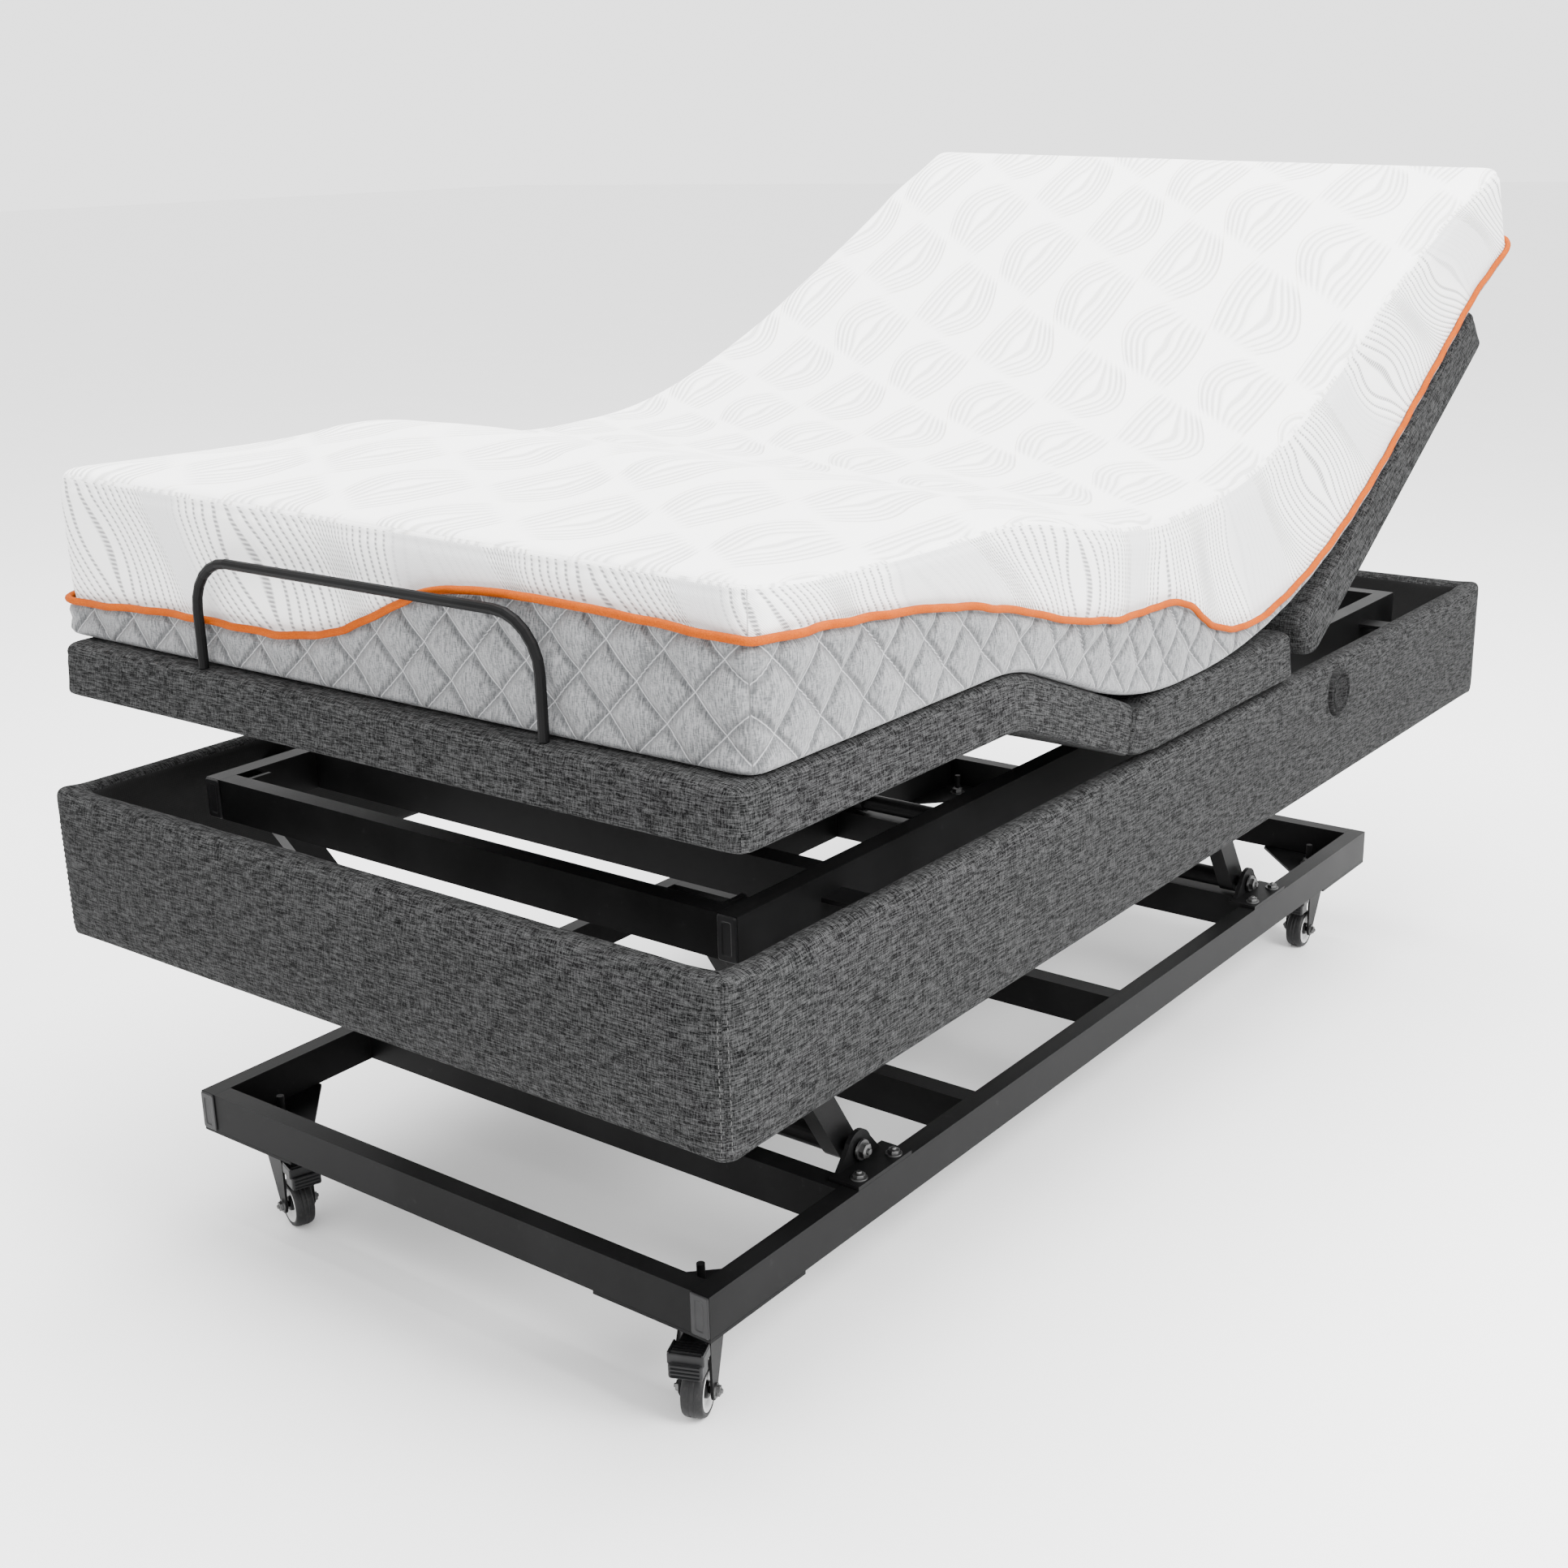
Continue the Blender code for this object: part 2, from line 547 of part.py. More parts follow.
def make_actuators(bed, steel, plastic):
    rod_bar = UPPER_CROSS_BAR_Y[1]
    face = CROSS_BAR_WIDTH / 2 + GAP
    crank_z = HINGE_Z - CRANK_RADIUS
    # head actuator: pushes the head section's crank towards the head end
    rest = slide_rest(0.97 * CRANK_RADIUS, sum(HEAD_RANGE) / 2, 1)
    start = rod_bar + face + 0.004
    head = housing_mesh(start, start + 0.17, 1, rod_bar + face)
    add("head_actuator", head, plastic, bed, (HEAD_ROD_X, 0, crank_z), smooth=True)
    slot_y = HEAD_HINGE_Y + rest
    add("head_push_rod", rod_mesh(0.145, 1), steel, bed, (HEAD_ROD_X, slot_y, crank_z), smooth=True)
    # leg actuator: pushes the thigh section's crank towards the foot end
    rest = slide_rest(0.985 * CRANK_RADIUS, sum(THIGH_RANGE) / 2, -1)
    start = rod_bar - face - 0.004
    leg = housing_mesh(start, start - 0.145, -1, rod_bar - face)
    add("leg_actuator", leg, plastic, bed, (LEG_ROD_X, 0, crank_z), smooth=True)
    slot_y = THIGH_HINGE_Y + rest
    add("leg_push_rod", rod_mesh(0.125, -1), steel, bed, (LEG_ROD_X, slot_y, crank_z), smooth=True)
    # lift actuator: hangs under the head rail and pushes the rear arms' crank towards the foot end
    pivot_y, pivot_z = upper_pivot(REAR_PIVOT_Y)
    crank_z = pivot_z - LIFT_CRANK_RADIUS
    rest = slide_rest(0.975 * LIFT_CRANK_RADIUS, sum(LIFT_RANGE) / 2, -1)
    start = UPPER_Y[1] - TUBE_WIDTH
    housing = housing_mesh(start, pivot_y + 0.085, 1, start)
    rail_bottom = UPPER_TOP - TUBE_HEIGHT - GAP
    hanger = box((-0.018, start - 0.030, 0.010), (0.018, start + TUBE_WIDTH - 0.004, rail_bottom - crank_z))
    housing = combine(housing, [hanger])
    add("lift_actuator", housing, plastic, bed, (LIFT_ROD_X, 0, crank_z), smooth=True)
    slot_y = pivot_y + rest
    add("lift_push_rod", rod_mesh(0.20, -1), steel, bed, (LIFT_ROD_X, slot_y, crank_z), smooth=True)


def make_control_box(bed, plastic):
    bar_y = UPPER_CROSS_BAR_Y[1] - CROSS_BAR_WIDTH / 2 - GAP
    low_z = UPPER_TOP - TUBE_HEIGHT + 0.004
    shell = box((-0.36, bar_y - 0.13, low_z), (-0.20, bar_y, low_z + 0.044), 0.004)
    inlet = box((-0.30, bar_y - 0.135, low_z + 0.012), (-0.27, bar_y - 0.115, low_z + 0.032))
    add("control_box", combine(shell, [], [inlet]), plastic, bed)


# ---- deck ---------------------------------------------------------------------------------------


def deck_slab(y_low, y_high, z_mid=0.0):
    half = DECK_THICKNESS / 2
    low = (-DECK_HALF_WIDTH, y_low, z_mid - half)
    return box(low, (DECK_HALF_WIDTH, y_high, z_mid + half), 0.012, 3)


def mattress_block(outline):
    """Part of the mattress from its (y, z) outline across the bed."""
    return prism_x(outline, -MATTRESS_HALF_WIDTH, MATTRESS_HALF_WIDTH)


def hinge_tube(half_length, crank_x, sign, turn):
    tube = cylinder(HINGE_TUBE_RADIUS, (-half_length, 0, 0), (half_length, 0, 0))
    return combine(tube, turned_about_x(crank(CRANK_RADIUS, crank_x, sign), turn))


def retainer_mesh():
    """Round bar bent to a low arch, swept along its path in the X-Z plane."""
    half, top, corner = RETAINER_HALF_WIDTH, RETAINER_HEIGHT, RETAINER_CORNER
    path = [(-half, 0.0)]
    path += arc((-half + corner, top - corner), corner, 180, 90, 6)
    path += arc((half - corner, top - corner), corner, 90, 0, 6)
    path += [(half, 0.0)]
    sides = 12
    bm = bmesh.new()
    rings = []
    for i, (x, z) in enumerate(path):
        before, after = path[max(i - 1, 0)], path[min(i + 1, len(path) - 1)]
        along = Vector((after[0] - before[0], 0, after[1] - before[1])).normalized()
        across = Vector((0, 1, 0)).cross(along)
        ring = []
        for s in range(sides):
            angle = 2 * math.pi * s / sides
            offset = across * math.cos(angle) + Vector((0, 1, 0)) * math.sin(angle)
            ring.append(bm.verts.new(Vector((x, 0, z)) + offset * RETAINER_RADIUS))
        rings.append(ring)
    for one, two in zip(rings, rings[1:]):
        for s in range(sides):
            t = (s + 1) % sides
            bm.faces.new((one[s], one[t], two[t], two[s]))
    bm.faces.new(rings[0])
    bm.faces.new(rings[-1])
    return to_mesh(bm)


def make_deck(bed, fabric, steel, knit):
    half = DECK_THICKNESS / 2
    low = half + GAP
    high = low + MATTRESS_THICKNESS
    round_off = 0.03
    head_cut = math.tan(math.radians((HEAD_RANGE[1] - HEAD_RANGE[0]) / 2))
    thigh_cut = math.tan(math.radians((THIGH_RANGE[1] - THIGH_RANGE[0]) / 2))
    side_gap = 0.002

    seat_y = (THIGH_HINGE_Y + SEAT_END_THIGH, HEAD_HINGE_Y - SEAT_END_HEAD)
    add("seat_section", deck_slab(*seat_y, HINGE_Z), fabric, bed)
    seat = []
    for y, z in ((THIGH_HINGE_Y, low), (HEAD_HINGE_Y, low), (HEAD_HINGE_Y, high), (THIGH_HINGE_Y, high)):
        at_head = y == HEAD_HINGE_Y
        inset = z * (head_cut if at_head else thigh_cut) + side_gap
        seat.append((y - inset if at_head else y + inset, HINGE_Z + z))
    add("mattress_seat", mattress_block(seat), knit, bed)

    head = empty("head_hinge", bed, (0, HEAD_HINGE_Y, HINGE_Z), (HEAD_ANGLE, 0, 0))
    add("head_section", deck_slab(HEAD_START, HEAD_LENGTH), fabric, head)
    crank_turn = -(HEAD_ANGLE + sum(HEAD_RANGE) / 2)
    add("head_hinge_tube", hinge_tube(0.45, HEAD_ROD_X, 1, crank_turn), steel, head, smooth=True)
    block = [
        (low * head_cut + side_gap, low),
        (MATTRESS_HEAD_END - round_off, low),
        (MATTRESS_HEAD_END, low + round_off),
        (MATTRESS_HEAD_END, high - round_off),
        (MATTRESS_HEAD_END - round_off, high),
        (high * head_cut + side_gap, high),
    ]
    add("mattress_head", mattress_block(block), knit, head)

    thigh = empty("thigh_hinge", bed, (0, THIGH_HINGE_Y, HINGE_Z), (-THIGH_ANGLE, 0, 0))
    add("thigh_section", deck_slab(THIGH_START - THIGH_LENGTH, -THIGH_START), fabric, thigh)
    crank_turn = THIGH_ANGLE + sum(THIGH_RANGE) / 2
    add("thigh_hinge_tube", hinge_tube(0.45, LEG_ROD_X, -1, crank_turn), steel, thigh, smooth=True)
    block = [
        (side_gap - THIGH_LENGTH, low),
        (-low * thigh_cut - side_gap, low),
        (-high * thigh_cut - side_gap, high),
        (side_gap - THIGH_LENGTH, high),
    ]
    add("mattress_thigh", mattress_block(block), knit, thigh)

    foot = empty("foot_hinge", thigh, (0, -THIGH_LENGTH, 0), (THIGH_ANGLE, 0, 0))
    add("foot_section", deck_slab(-FOOT_LENGTH, -THIGH_START), fabric, foot)
    end = MATTRESS_FOOT_GAP - FOOT_LENGTH
    block = [
        (end + round_off, low),
        (-side_gap, low),
        (-side_gap, high),
        (end + round_off, high),
        (end, high - round_off),
        (end, low + round_off),
    ]
    add("mattress_foot", mattress_block(block), knit, foot)
    bar_y = end - 0.004 - RETAINER_RADIUS
    add("retainer_bar", retainer_mesh(), steel, foot, (0, bar_y, half + GAP), smooth=True)


# ---- the whole bed ------------------------------------------------------------------------------


def main():
    clear_scene()
    steel = material("black_steel", (0.02, 0.02, 0.02), 0.45, 0.6)
    rubber = material("caster_wheel", (0.015, 0.015, 0.015), 0.5)
    plastic = material("black_plastic", (0.02, 0.02, 0.022), 0.5)
    fabric = material("grey_upholstery", (0.13, 0.13, 0.13), 0.95)
    knit = material("mattress_knit", (0.85, 0.85, 0.84), 0.9)
    bed = empty("bed", None, (0, CENTRE_SHIFT, 0))
    make_base(bed, steel)
    make_gussets(bed, steel)
    make_arm_brackets(bed, steel)
    make_casters(bed, steel, rubber, plastic)
    make_lift_arms(bed, steel)
    make_upper_frame(bed, steel)
    make_surround(bed, fabric)
    make_actuators(bed, steel, plastic)
    make_control_box(bed, plastic)
    make_deck(bed, fabric, steel, knit)


main()
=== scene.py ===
"""Looks for the adjustable bed: powder-coated frames, linen-look upholstery, quilted mattress, casters.

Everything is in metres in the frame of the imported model. Soft pieces are made flat, in strip
coordinates (x across, s along from the foot end, w up from the underside), puffed by a short cloth
simulation, given their seams and quilting, and then laid along the bent line of the deck.
"""

import json
import math

import bmesh
import bpy
import numpy as np
from mathutils import Matrix, Vector

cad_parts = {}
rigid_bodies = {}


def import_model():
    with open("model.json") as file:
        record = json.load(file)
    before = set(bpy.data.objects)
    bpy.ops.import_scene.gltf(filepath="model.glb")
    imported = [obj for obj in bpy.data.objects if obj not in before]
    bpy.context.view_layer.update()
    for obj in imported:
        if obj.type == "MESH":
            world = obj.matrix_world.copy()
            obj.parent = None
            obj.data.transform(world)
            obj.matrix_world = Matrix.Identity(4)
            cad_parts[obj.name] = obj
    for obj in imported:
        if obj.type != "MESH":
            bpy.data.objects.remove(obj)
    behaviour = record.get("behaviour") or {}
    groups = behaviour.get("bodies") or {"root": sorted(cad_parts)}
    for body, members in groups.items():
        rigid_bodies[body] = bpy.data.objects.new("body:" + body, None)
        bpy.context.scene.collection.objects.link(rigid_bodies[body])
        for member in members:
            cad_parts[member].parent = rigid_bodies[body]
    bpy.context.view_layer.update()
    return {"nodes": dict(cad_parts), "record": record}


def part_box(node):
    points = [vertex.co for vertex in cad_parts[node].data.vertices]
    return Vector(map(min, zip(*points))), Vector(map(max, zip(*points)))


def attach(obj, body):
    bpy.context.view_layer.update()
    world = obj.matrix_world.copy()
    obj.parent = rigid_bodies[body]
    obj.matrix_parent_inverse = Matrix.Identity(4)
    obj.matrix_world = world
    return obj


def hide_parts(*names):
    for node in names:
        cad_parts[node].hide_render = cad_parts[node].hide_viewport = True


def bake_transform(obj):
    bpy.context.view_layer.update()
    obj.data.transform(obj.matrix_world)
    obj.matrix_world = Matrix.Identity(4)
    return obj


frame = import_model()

JOINTS = {joint["name"]: joint for joint in frame["record"]["behaviour"]["joints"]}

# ---- the deck's bent line, in the (y, z) plane ------------------------------------------------------


def joint_yz(name):
    return np.array(JOINTS[name]["pos_m"][1:])


HEAD_AXIS = joint_yz("head_hinge")
THIGH_AXIS = joint_yz("thigh_hinge")
KNEE_AXIS = joint_yz("foot_hinge")
SEAT_LOW, SEAT_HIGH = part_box("seat_section")
DECK_HALF_THICKNESS = (SEAT_HIGH.z - SEAT_LOW.z) / 2
DECK_HALF_WIDTH = SEAT_HIGH.x
FOOT_END_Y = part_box("foot_section")[0].y
HEAD_ANGLE = math.radians(32.5)
HEAD_LENGTH = 0.745
SEAM_GAP = 0.008
HINGE_GAP = 0.026

MATTRESS_LOW, MATTRESS_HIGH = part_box("mattress_foot")
MATTRESS_HALF_WIDTH = MATTRESS_HIGH.x
MATTRESS_THICKNESS = MATTRESS_HIGH.z - MATTRESS_LOW.z
MATTRESS_FOOT_Y = MATTRESS_LOW.y
MATTRESS_HEAD_REACH = 0.9152  # from the corner under the hip to the head end

KNEE_BEND = 0.055  # half-lengths of the rounded stretches at the three corners of the line
VALLEY_BEND = 0.12
HIP_BEND_SEAT = 0.31
HIP_BEND_HEAD = 0.37


def unit(vector):
    return vector / np.linalg.norm(vector)


class BentLine:
    """A polyline in the (y, z) plane with rounded corners; maps strip coordinates into the scene."""

    def __init__(self, points, bends, steps=24):
        path = [points[0]]
        for i, (before, after) in enumerate(bends, 1):
            corner = points[i]
            start = corner - before * unit(corner - points[i - 1])
            end = corner + after * unit(points[i + 1] - corner)
            for u in np.linspace(0, 1, steps):
                path.append((1 - u) ** 2 * start + 2 * u * (1 - u) * corner + u * u * end)
        path.append(points[-1])
        self.path = np.array(path)
        self.reach = np.r_[0, np.cumsum(np.linalg.norm(np.diff(self.path, axis=0), axis=1))]
        heading = np.unwrap(np.arctan2(*np.diff(self.path, axis=0).T[::-1]))
        self.middle = (self.reach[1:] + self.reach[:-1]) / 2
        self.heading = heading
        self.length = self.reach[-1]

    def at(self, s):
        """Points on the line; past its ends the line runs straight on."""
        inside = np.clip(s, 0, self.length)
        point = np.stack([np.interp(inside, self.reach, self.path[:, k]) for k in (0, 1)], axis=-1)
        angle = np.interp(s, self.middle, self.heading)
        return point + (s - inside)[..., None] * np.stack([np.cos(angle), np.sin(angle)], axis=-1)

    def place(self, flat):
        """Scene places of strip coordinates (x, s, w)."""
        flat = np.asarray(flat, float)
        x, s, w = flat[..., 0], flat[..., 1], flat[..., 2]
        angle = np.interp(s, self.middle, self.heading)
        point = self.at(s)
        return np.stack([x, point[..., 0] - w * np.sin(angle), point[..., 1] + w * np.cos(angle)], axis=-1)

    def s_of_y(self, y):
        return float(np.interp(y, self.path[:, 0], self.reach))


def offset_corner(axis, before, after, distance):
    """Where the lines at a distance above two stretches meet, the stretches meeting at the axis."""
    normals = [np.array([-d[1], d[0]]) for d in (before, after)]
    return axis + distance * (normals[0] + normals[1]) / (1 + normals[0] @ normals[1])


LEVEL = np.array([1.0, 0.0])
THIGH_RUN = unit(THIGH_AXIS - KNEE_AXIS)
HEAD_RUN = np.array([math.cos(HEAD_ANGLE), math.sin(HEAD_ANGLE)])


def deck_line(distance, foot_y, head_reach, bends):
    knee = offset_corner(KNEE_AXIS, LEVEL, THIGH_RUN, distance)
    thigh = offset_corner(THIGH_AXIS, THIGH_RUN, LEVEL, distance)
    hip = offset_corner(HEAD_AXIS, LEVEL, HEAD_RUN, distance)
    start = np.array([foot_y, knee[1]])
    return BentLine([start, knee, thigh, hip, hip + head_reach * HEAD_RUN], bends)


# ---- materials --------------------------------------------------------------------------------------


class Net:
    """One material's node tree, with short calls for the nodes used here."""

    def __init__(self, name, roughness=0.5, metallic=0.0, sheen=0.0, specular=0.5):
        self.mat = bpy.data.materials.new(name)
        self.mat.use_nodes = True
        self.tree = self.mat.node_tree
        self.shader = self.tree.nodes["Principled BSDF"]
        self.shader.inputs["Roughness"].default_value = roughness
        self.shader.inputs["Metallic"].default_value = metallic
        self.shader.inputs["Specular IOR Level"].default_value = specular
        if sheen:
            self.shader.inputs["Sheen Weight"].default_value = sheen
            self.shader.inputs["Sheen Roughness"].default_value = 0.5

    def put(self, value, socket):
        if isinstance(value, bpy.types.NodeSocket):
            self.tree.links.new(value, socket)
        elif isinstance(value, tuple) and len(value) == 3 and socket.type == "RGBA":
            socket.default_value = (*value, 1.0)
        else:
            socket.default_value = value

    def node(self, kind, out=0, **values):
        node = self.tree.nodes.new(kind)
        for key, value in values.items():
            self.put(value, node.inputs[key.replace("_", " ")])
        return node.outputs[out]

    def math(self, operation, *values, clamp=False):
        node = self.tree.nodes.new("ShaderNodeMath")
        node.operation = operation
        node.use_clamp = clamp
        for value, socket in zip(values, node.inputs):
            self.put(value, socket)
        return node.outputs[0]

    def add(self, a, b):
        return self.math("ADD", a, b)

    def mul(self, a, b):
        return self.math("MULTIPLY", a, b)

    def wave(self, value):
        """Sine from 0 to 1."""
        return self.math("MULTIPLY_ADD", self.math("SINE", value), 0.5, 0.5)

    def step(self, value, low, high):
        """Smooth step from 0 at low to 1 at high."""
        node = self.tree.nodes.new("ShaderNodeMapRange")
        node.interpolation_type = "SMOOTHSTEP"
        for key, number in (("From Min", low), ("From Max", high)):
            node.inputs[key].default_value = number
        self.put(value, node.inputs["Value"])
        return node.outputs["Result"]

    def vector(self, x, y, z=0.0):
        return self.node("ShaderNodeCombineXYZ", X=x, Y=y, Z=z)

    def split(self, vector):
        node = self.tree.nodes.new("ShaderNodeSeparateXYZ")
        self.put(vector, node.inputs[0])
        return node.outputs

    def noise(self, vector, scale, detail=2.0, rough=0.5):
        return self.node("ShaderNodeTexNoise", Vector=vector, Scale=scale, Detail=detail, Roughness=rough)

    def mix(self, factor, a, b):
        node = self.tree.nodes.new("ShaderNodeMix")
        node.data_type = "RGBA"
        colour_a, colour_b = [s for s in node.inputs if s.type == "RGBA"]
        self.put(factor, node.inputs[0])
        self.put(a, colour_a)
        self.put(b, colour_b)
        return next(s for s in node.outputs if s.type == "RGBA")

    def place(self, kind="Object"):
        return self.tree.nodes.new("ShaderNodeTexCoord").outputs[kind]

    def attribute(self, name, out="Fac"):
        node = self.tree.nodes.new("ShaderNodeAttribute")
        node.attribute_name = name
        return node.outputs[out]

    def finish(self, colour, height=None, distance=0.001, strength=1.0, roughness=None):
        self.put(colour, self.shader.inputs["Base Color"])
        if roughness is not None:
            self.put(roughness, self.shader.inputs["Roughness"])
        if height is not None:
            bump = self.tree.nodes.new("ShaderNodeBump")
            bump.inputs["Strength"].default_value = strength
            bump.inputs["Distance"].default_value = distance
            self.put(height, bump.inputs["Height"])
            self.put(bump.outputs[0], self.shader.inputs["Normal"])
        return self.mat


def powder_coat(name, low, high, roughness):
    """Satin powder coat: fine orange peel, faint cloudiness and slightly rubbed edges."""
    net = Net(name, roughness, specular=0.06)
    place = net.place()
    cloud = net.noise(place, 9.0, 4.0)
    peel = net.noise(place, 900.0, 2.0)
    worn = net.step(net.noise(place, 60.0, 6.0, 0.7), 0.62, 0.72)
    colour = net.mix(net.step(cloud, 0.3, 0.7), low, high)
    colour = net.mix(net.mul(worn, 0.25), colour, tuple(4 * c for c in high))
    rough = net.add(net.mul(cloud, 0.16), roughness - 0.08)
    return net.finish(colour, peel, 0.0002, 0.5, rough)


def bright_steel(name, colour, roughness):
    """Zinc-plated steel with fine drawn lines and a slight mottle."""
    net = Net(name, roughness, 1.0)
    place = net.place()
    mottle = net.noise(place, 140.0, 4.0, 0.6)
    lines = net.noise(place, 1400.0, 2.0)
    shade = net.mix(net.step(mottle, 0.3, 0.7), tuple(0.8 * c for c in colour), colour)
    rough = net.add(net.mul(mottle, 0.25), roughness - 0.1)
    return net.finish(shade, lines, 0.0001, 0.3, rough)


def moulded_plastic(name, colour, roughness):
    """Moulded plastic with a fine spark-eroded grain and dust in the low spots."""
    net = Net(name, roughness, specular=0.25)
    place = net.place()
    grain = net.noise(place, 1600.0, 3.0, 0.7)
    dust = net.step(net.noise(place, 35.0, 5.0, 0.65), 0.5, 0.75)
    shade = net.mix(net.mul(dust, 0.35), colour, tuple(c + 0.012 for c in colour))
    rough = net.add(net.mul(grain, 0.15), roughness - 0.07)
    return net.finish(shade, grain, 0.00015, 0.6, rough)


def tyre_rubber():
    """Hard polyurethane tyre with mould lines and scuffed tread."""
    net = Net("tyre_rubber", 0.6, specular=0.25)
    place = net.place()
    scuff = net.noise(place, 160.0, 6.0, 0.75)
    colour = net.mix(net.step(scuff, 0.45, 0.75), (0.005, 0.005, 0.0055), (0.018, 0.0175, 0.017))
    return net.finish(colour, scuff, 0.0003, 0.5, net.add(net.mul(scuff, 0.3), 0.4))


def threads(net, u, v, width, slub, seed):
    """Lightness of slubbed threads running along v: narrow across u, long along v."""
    vector = net.vector(net.mul(u, 1 / width), net.mul(v, 1 / slub), seed)
    return net.noise(vector, 1.0, 2.0, 0.55)


def linen(name, low, high, pitch=0.0016):
    """Two-tone linen-look weave over the strip UVs: slubbed threads both ways, with their own relief and
    painted shade in the gaps between them.
    """
    net = Net(name, 0.95, specular=0.05)
    u, v, _ = net.split(net.place("UV"))
    down = threads(net, u, v, 0.0015, 0.008, 1.7)
    along = threads(net, v, u, 0.0015, 0.018, 5.2)
    fine = net.noise(net.vector(u, v, 9.1), 560.0, 2.0, 0.7)
    patch = net.noise(net.vector(u, v, 3.3), 30.0, 3.0)
    warp = net.math("ABSOLUTE", net.math("SINE", net.mul(u, math.pi / pitch)))
    weft = net.math("ABSOLUTE", net.math("SINE", net.mul(v, math.pi / pitch)))
    over = net.step(net.add(down, net.mul(along, -1.0)), -0.1, 0.1)
    tone = net.mul(net.add(net.step(down, 0.38, 0.68), net.mul(net.step(along, 0.36, 0.66), 1.25)), 0.34)
    tone = net.add(tone, net.mul(net.add(fine, -0.5), 1.1))
    tone = net.add(tone, net.mul(net.add(patch, -0.5), 0.06))
    ridge = net.add(net.mul(over, warp), net.mul(net.add(1.0, net.mul(over, -1.0)), weft))
    colour = net.mix(net.math("ADD", tone, 0.0, clamp=True), low, high)
    # painted shade: the gaps between the threads are darkened in the colour
    colour = net.mix(net.mul(net.step(ridge, 0.45, 0.05), 0.55), colour, tuple(0.35 * c for c in low))
    height = net.add(net.mul(ridge, 0.6), net.mul(tone, 0.5))
    return net.finish(colour, height, 0.0008, 0.8)


def lining():
    """Black non-woven lining with its point-bonded pattern."""
    net = Net("black_lining", 0.95, sheen=0.1, specular=0.2)
    u, v, _ = net.split(net.place("UV"))
    dots = net.mul(net.wave(net.mul(u, 2200.0)), net.wave(net.mul(v, 2200.0)))
    fibre = net.noise(net.vector(u, v, 0.0), 900.0, 4.0, 0.7)
    colour = net.mix(fibre, (0.004, 0.004, 0.004), (0.014, 0.014, 0.014))
    return net.finish(colour, net.add(dots, fibre), 0.0003, 0.5)


LEAF_WIDTH = 0.085  # mean width of the leaf-shaped cells of the knit
LEAF_LENGTH = 0.20
LEAF_SWAY = 0.30
RIBS_PER_LEAF = 9


def knit_base(net, u, v):
    """Fine interlock knit: rows of tiny stitches."""
    rows = net.wave(net.mul(v, 2 * math.pi / 0.0024))
    wales = net.wave(net.mul(u, 2 * math.pi / 0.0024))
    return net.mul(rows, wales)


def leaves(net, u, v, width, length):
    """Brick pattern of leaves between mirrored waves: place across a leaf, and 1 in the wide cells."""
    swing = net.mul(net.math("SINE", net.mul(v, math.pi / length)), LEAF_SWAY)
    column = net.mul(u, 1 / width)
    warped = column
    for _ in range(3):
        shift = net.mul(swing, net.math("COSINE", net.mul(warped, math.pi)))
        warped = net.add(column, net.mul(shift, -1.0))
    parity = net.math("COSINE", net.mul(net.math("FLOOR", warped), math.pi))
    wide = net.mul(net.mul(parity, swing), -1 / LEAF_SWAY)
    return warped, wide


def mattress_top():
    """White stretch knit: leaves filled with converging ribs, plain tips, thin beige lines between; painted
    shade in the rib grooves.
    """
    net = Net("mattress_top_knit", 0.9, sheen=0.2, specular=0.2)
    u, v, _ = net.split(net.place("UV"))
    bend = net.noise(net.vector(u, v, 0.0), 1.6, 1.0)
    sheared = net.add(v, net.mul(u, 0.75))
    weaving = net.mul(net.math("SINE", net.mul(sheared, math.pi / LEAF_LENGTH)), 0.020)
    bent_u = net.add(net.add(u, weaving), net.mul(bend, 0.10))
    warped, wide = leaves(net, bent_u, sheared, LEAF_WIDTH, LEAF_LENGTH)
    ribs = net.wave(net.mul(warped, 2 * math.pi * RIBS_PER_LEAF))
    patch = net.step(wide, -0.05, 0.40)
    edge = net.math("ABSOLUTE", net.math("SINE", net.mul(warped, math.pi)))
    line = net.mul(net.step(edge, 0.09, 0.0), net.step(bend, 0.42, 0.5))
    stitch = knit_base(net, u, v)
    # painted shade: the grooves between the ribs are darkened in the colour
    groove = net.mul(net.step(ribs, 0.40, 0.05), patch)
    colour = net.mix(net.mul(groove, 0.60), (0.93, 0.93, 0.92), (0.42, 0.42, 0.41))
    colour = net.mix(net.mul(line, 0.40), colour, (0.70, 0.62, 0.53))
    height = net.add(net.mul(ribs, patch), net.mul(stitch, 0.12))
    return net.finish(colour, height, 0.0030, 0.8)


def melange(net, u, v):
    """Light-grey mélange knit: pale and mid-grey yarn flecks running up the border."""
    yarn = threads(net, u, v, 0.0012, 0.009, 2.4)
    fleck = threads(net, v, u, 0.0012, 0.005, 7.9)
    tone = net.add(net.mul(yarn, 0.65), net.mul(fleck, 0.35))
    colour = net.mix(net.step(tone, 0.34, 0.64), (0.075, 0.078, 0.081), (0.225, 0.227, 0.231))
    return colour, tone


QUILT_PITCH = 0.074  # diagonal quilting of the lower border
QUILT_DEPTH = 0.009
BORDER_LEAF_WIDTH = 0.13  # wavy cells of the white border, and the ribs across each
BORDER_LEAF_LENGTH = 0.24
BORDER_RIBS = 13


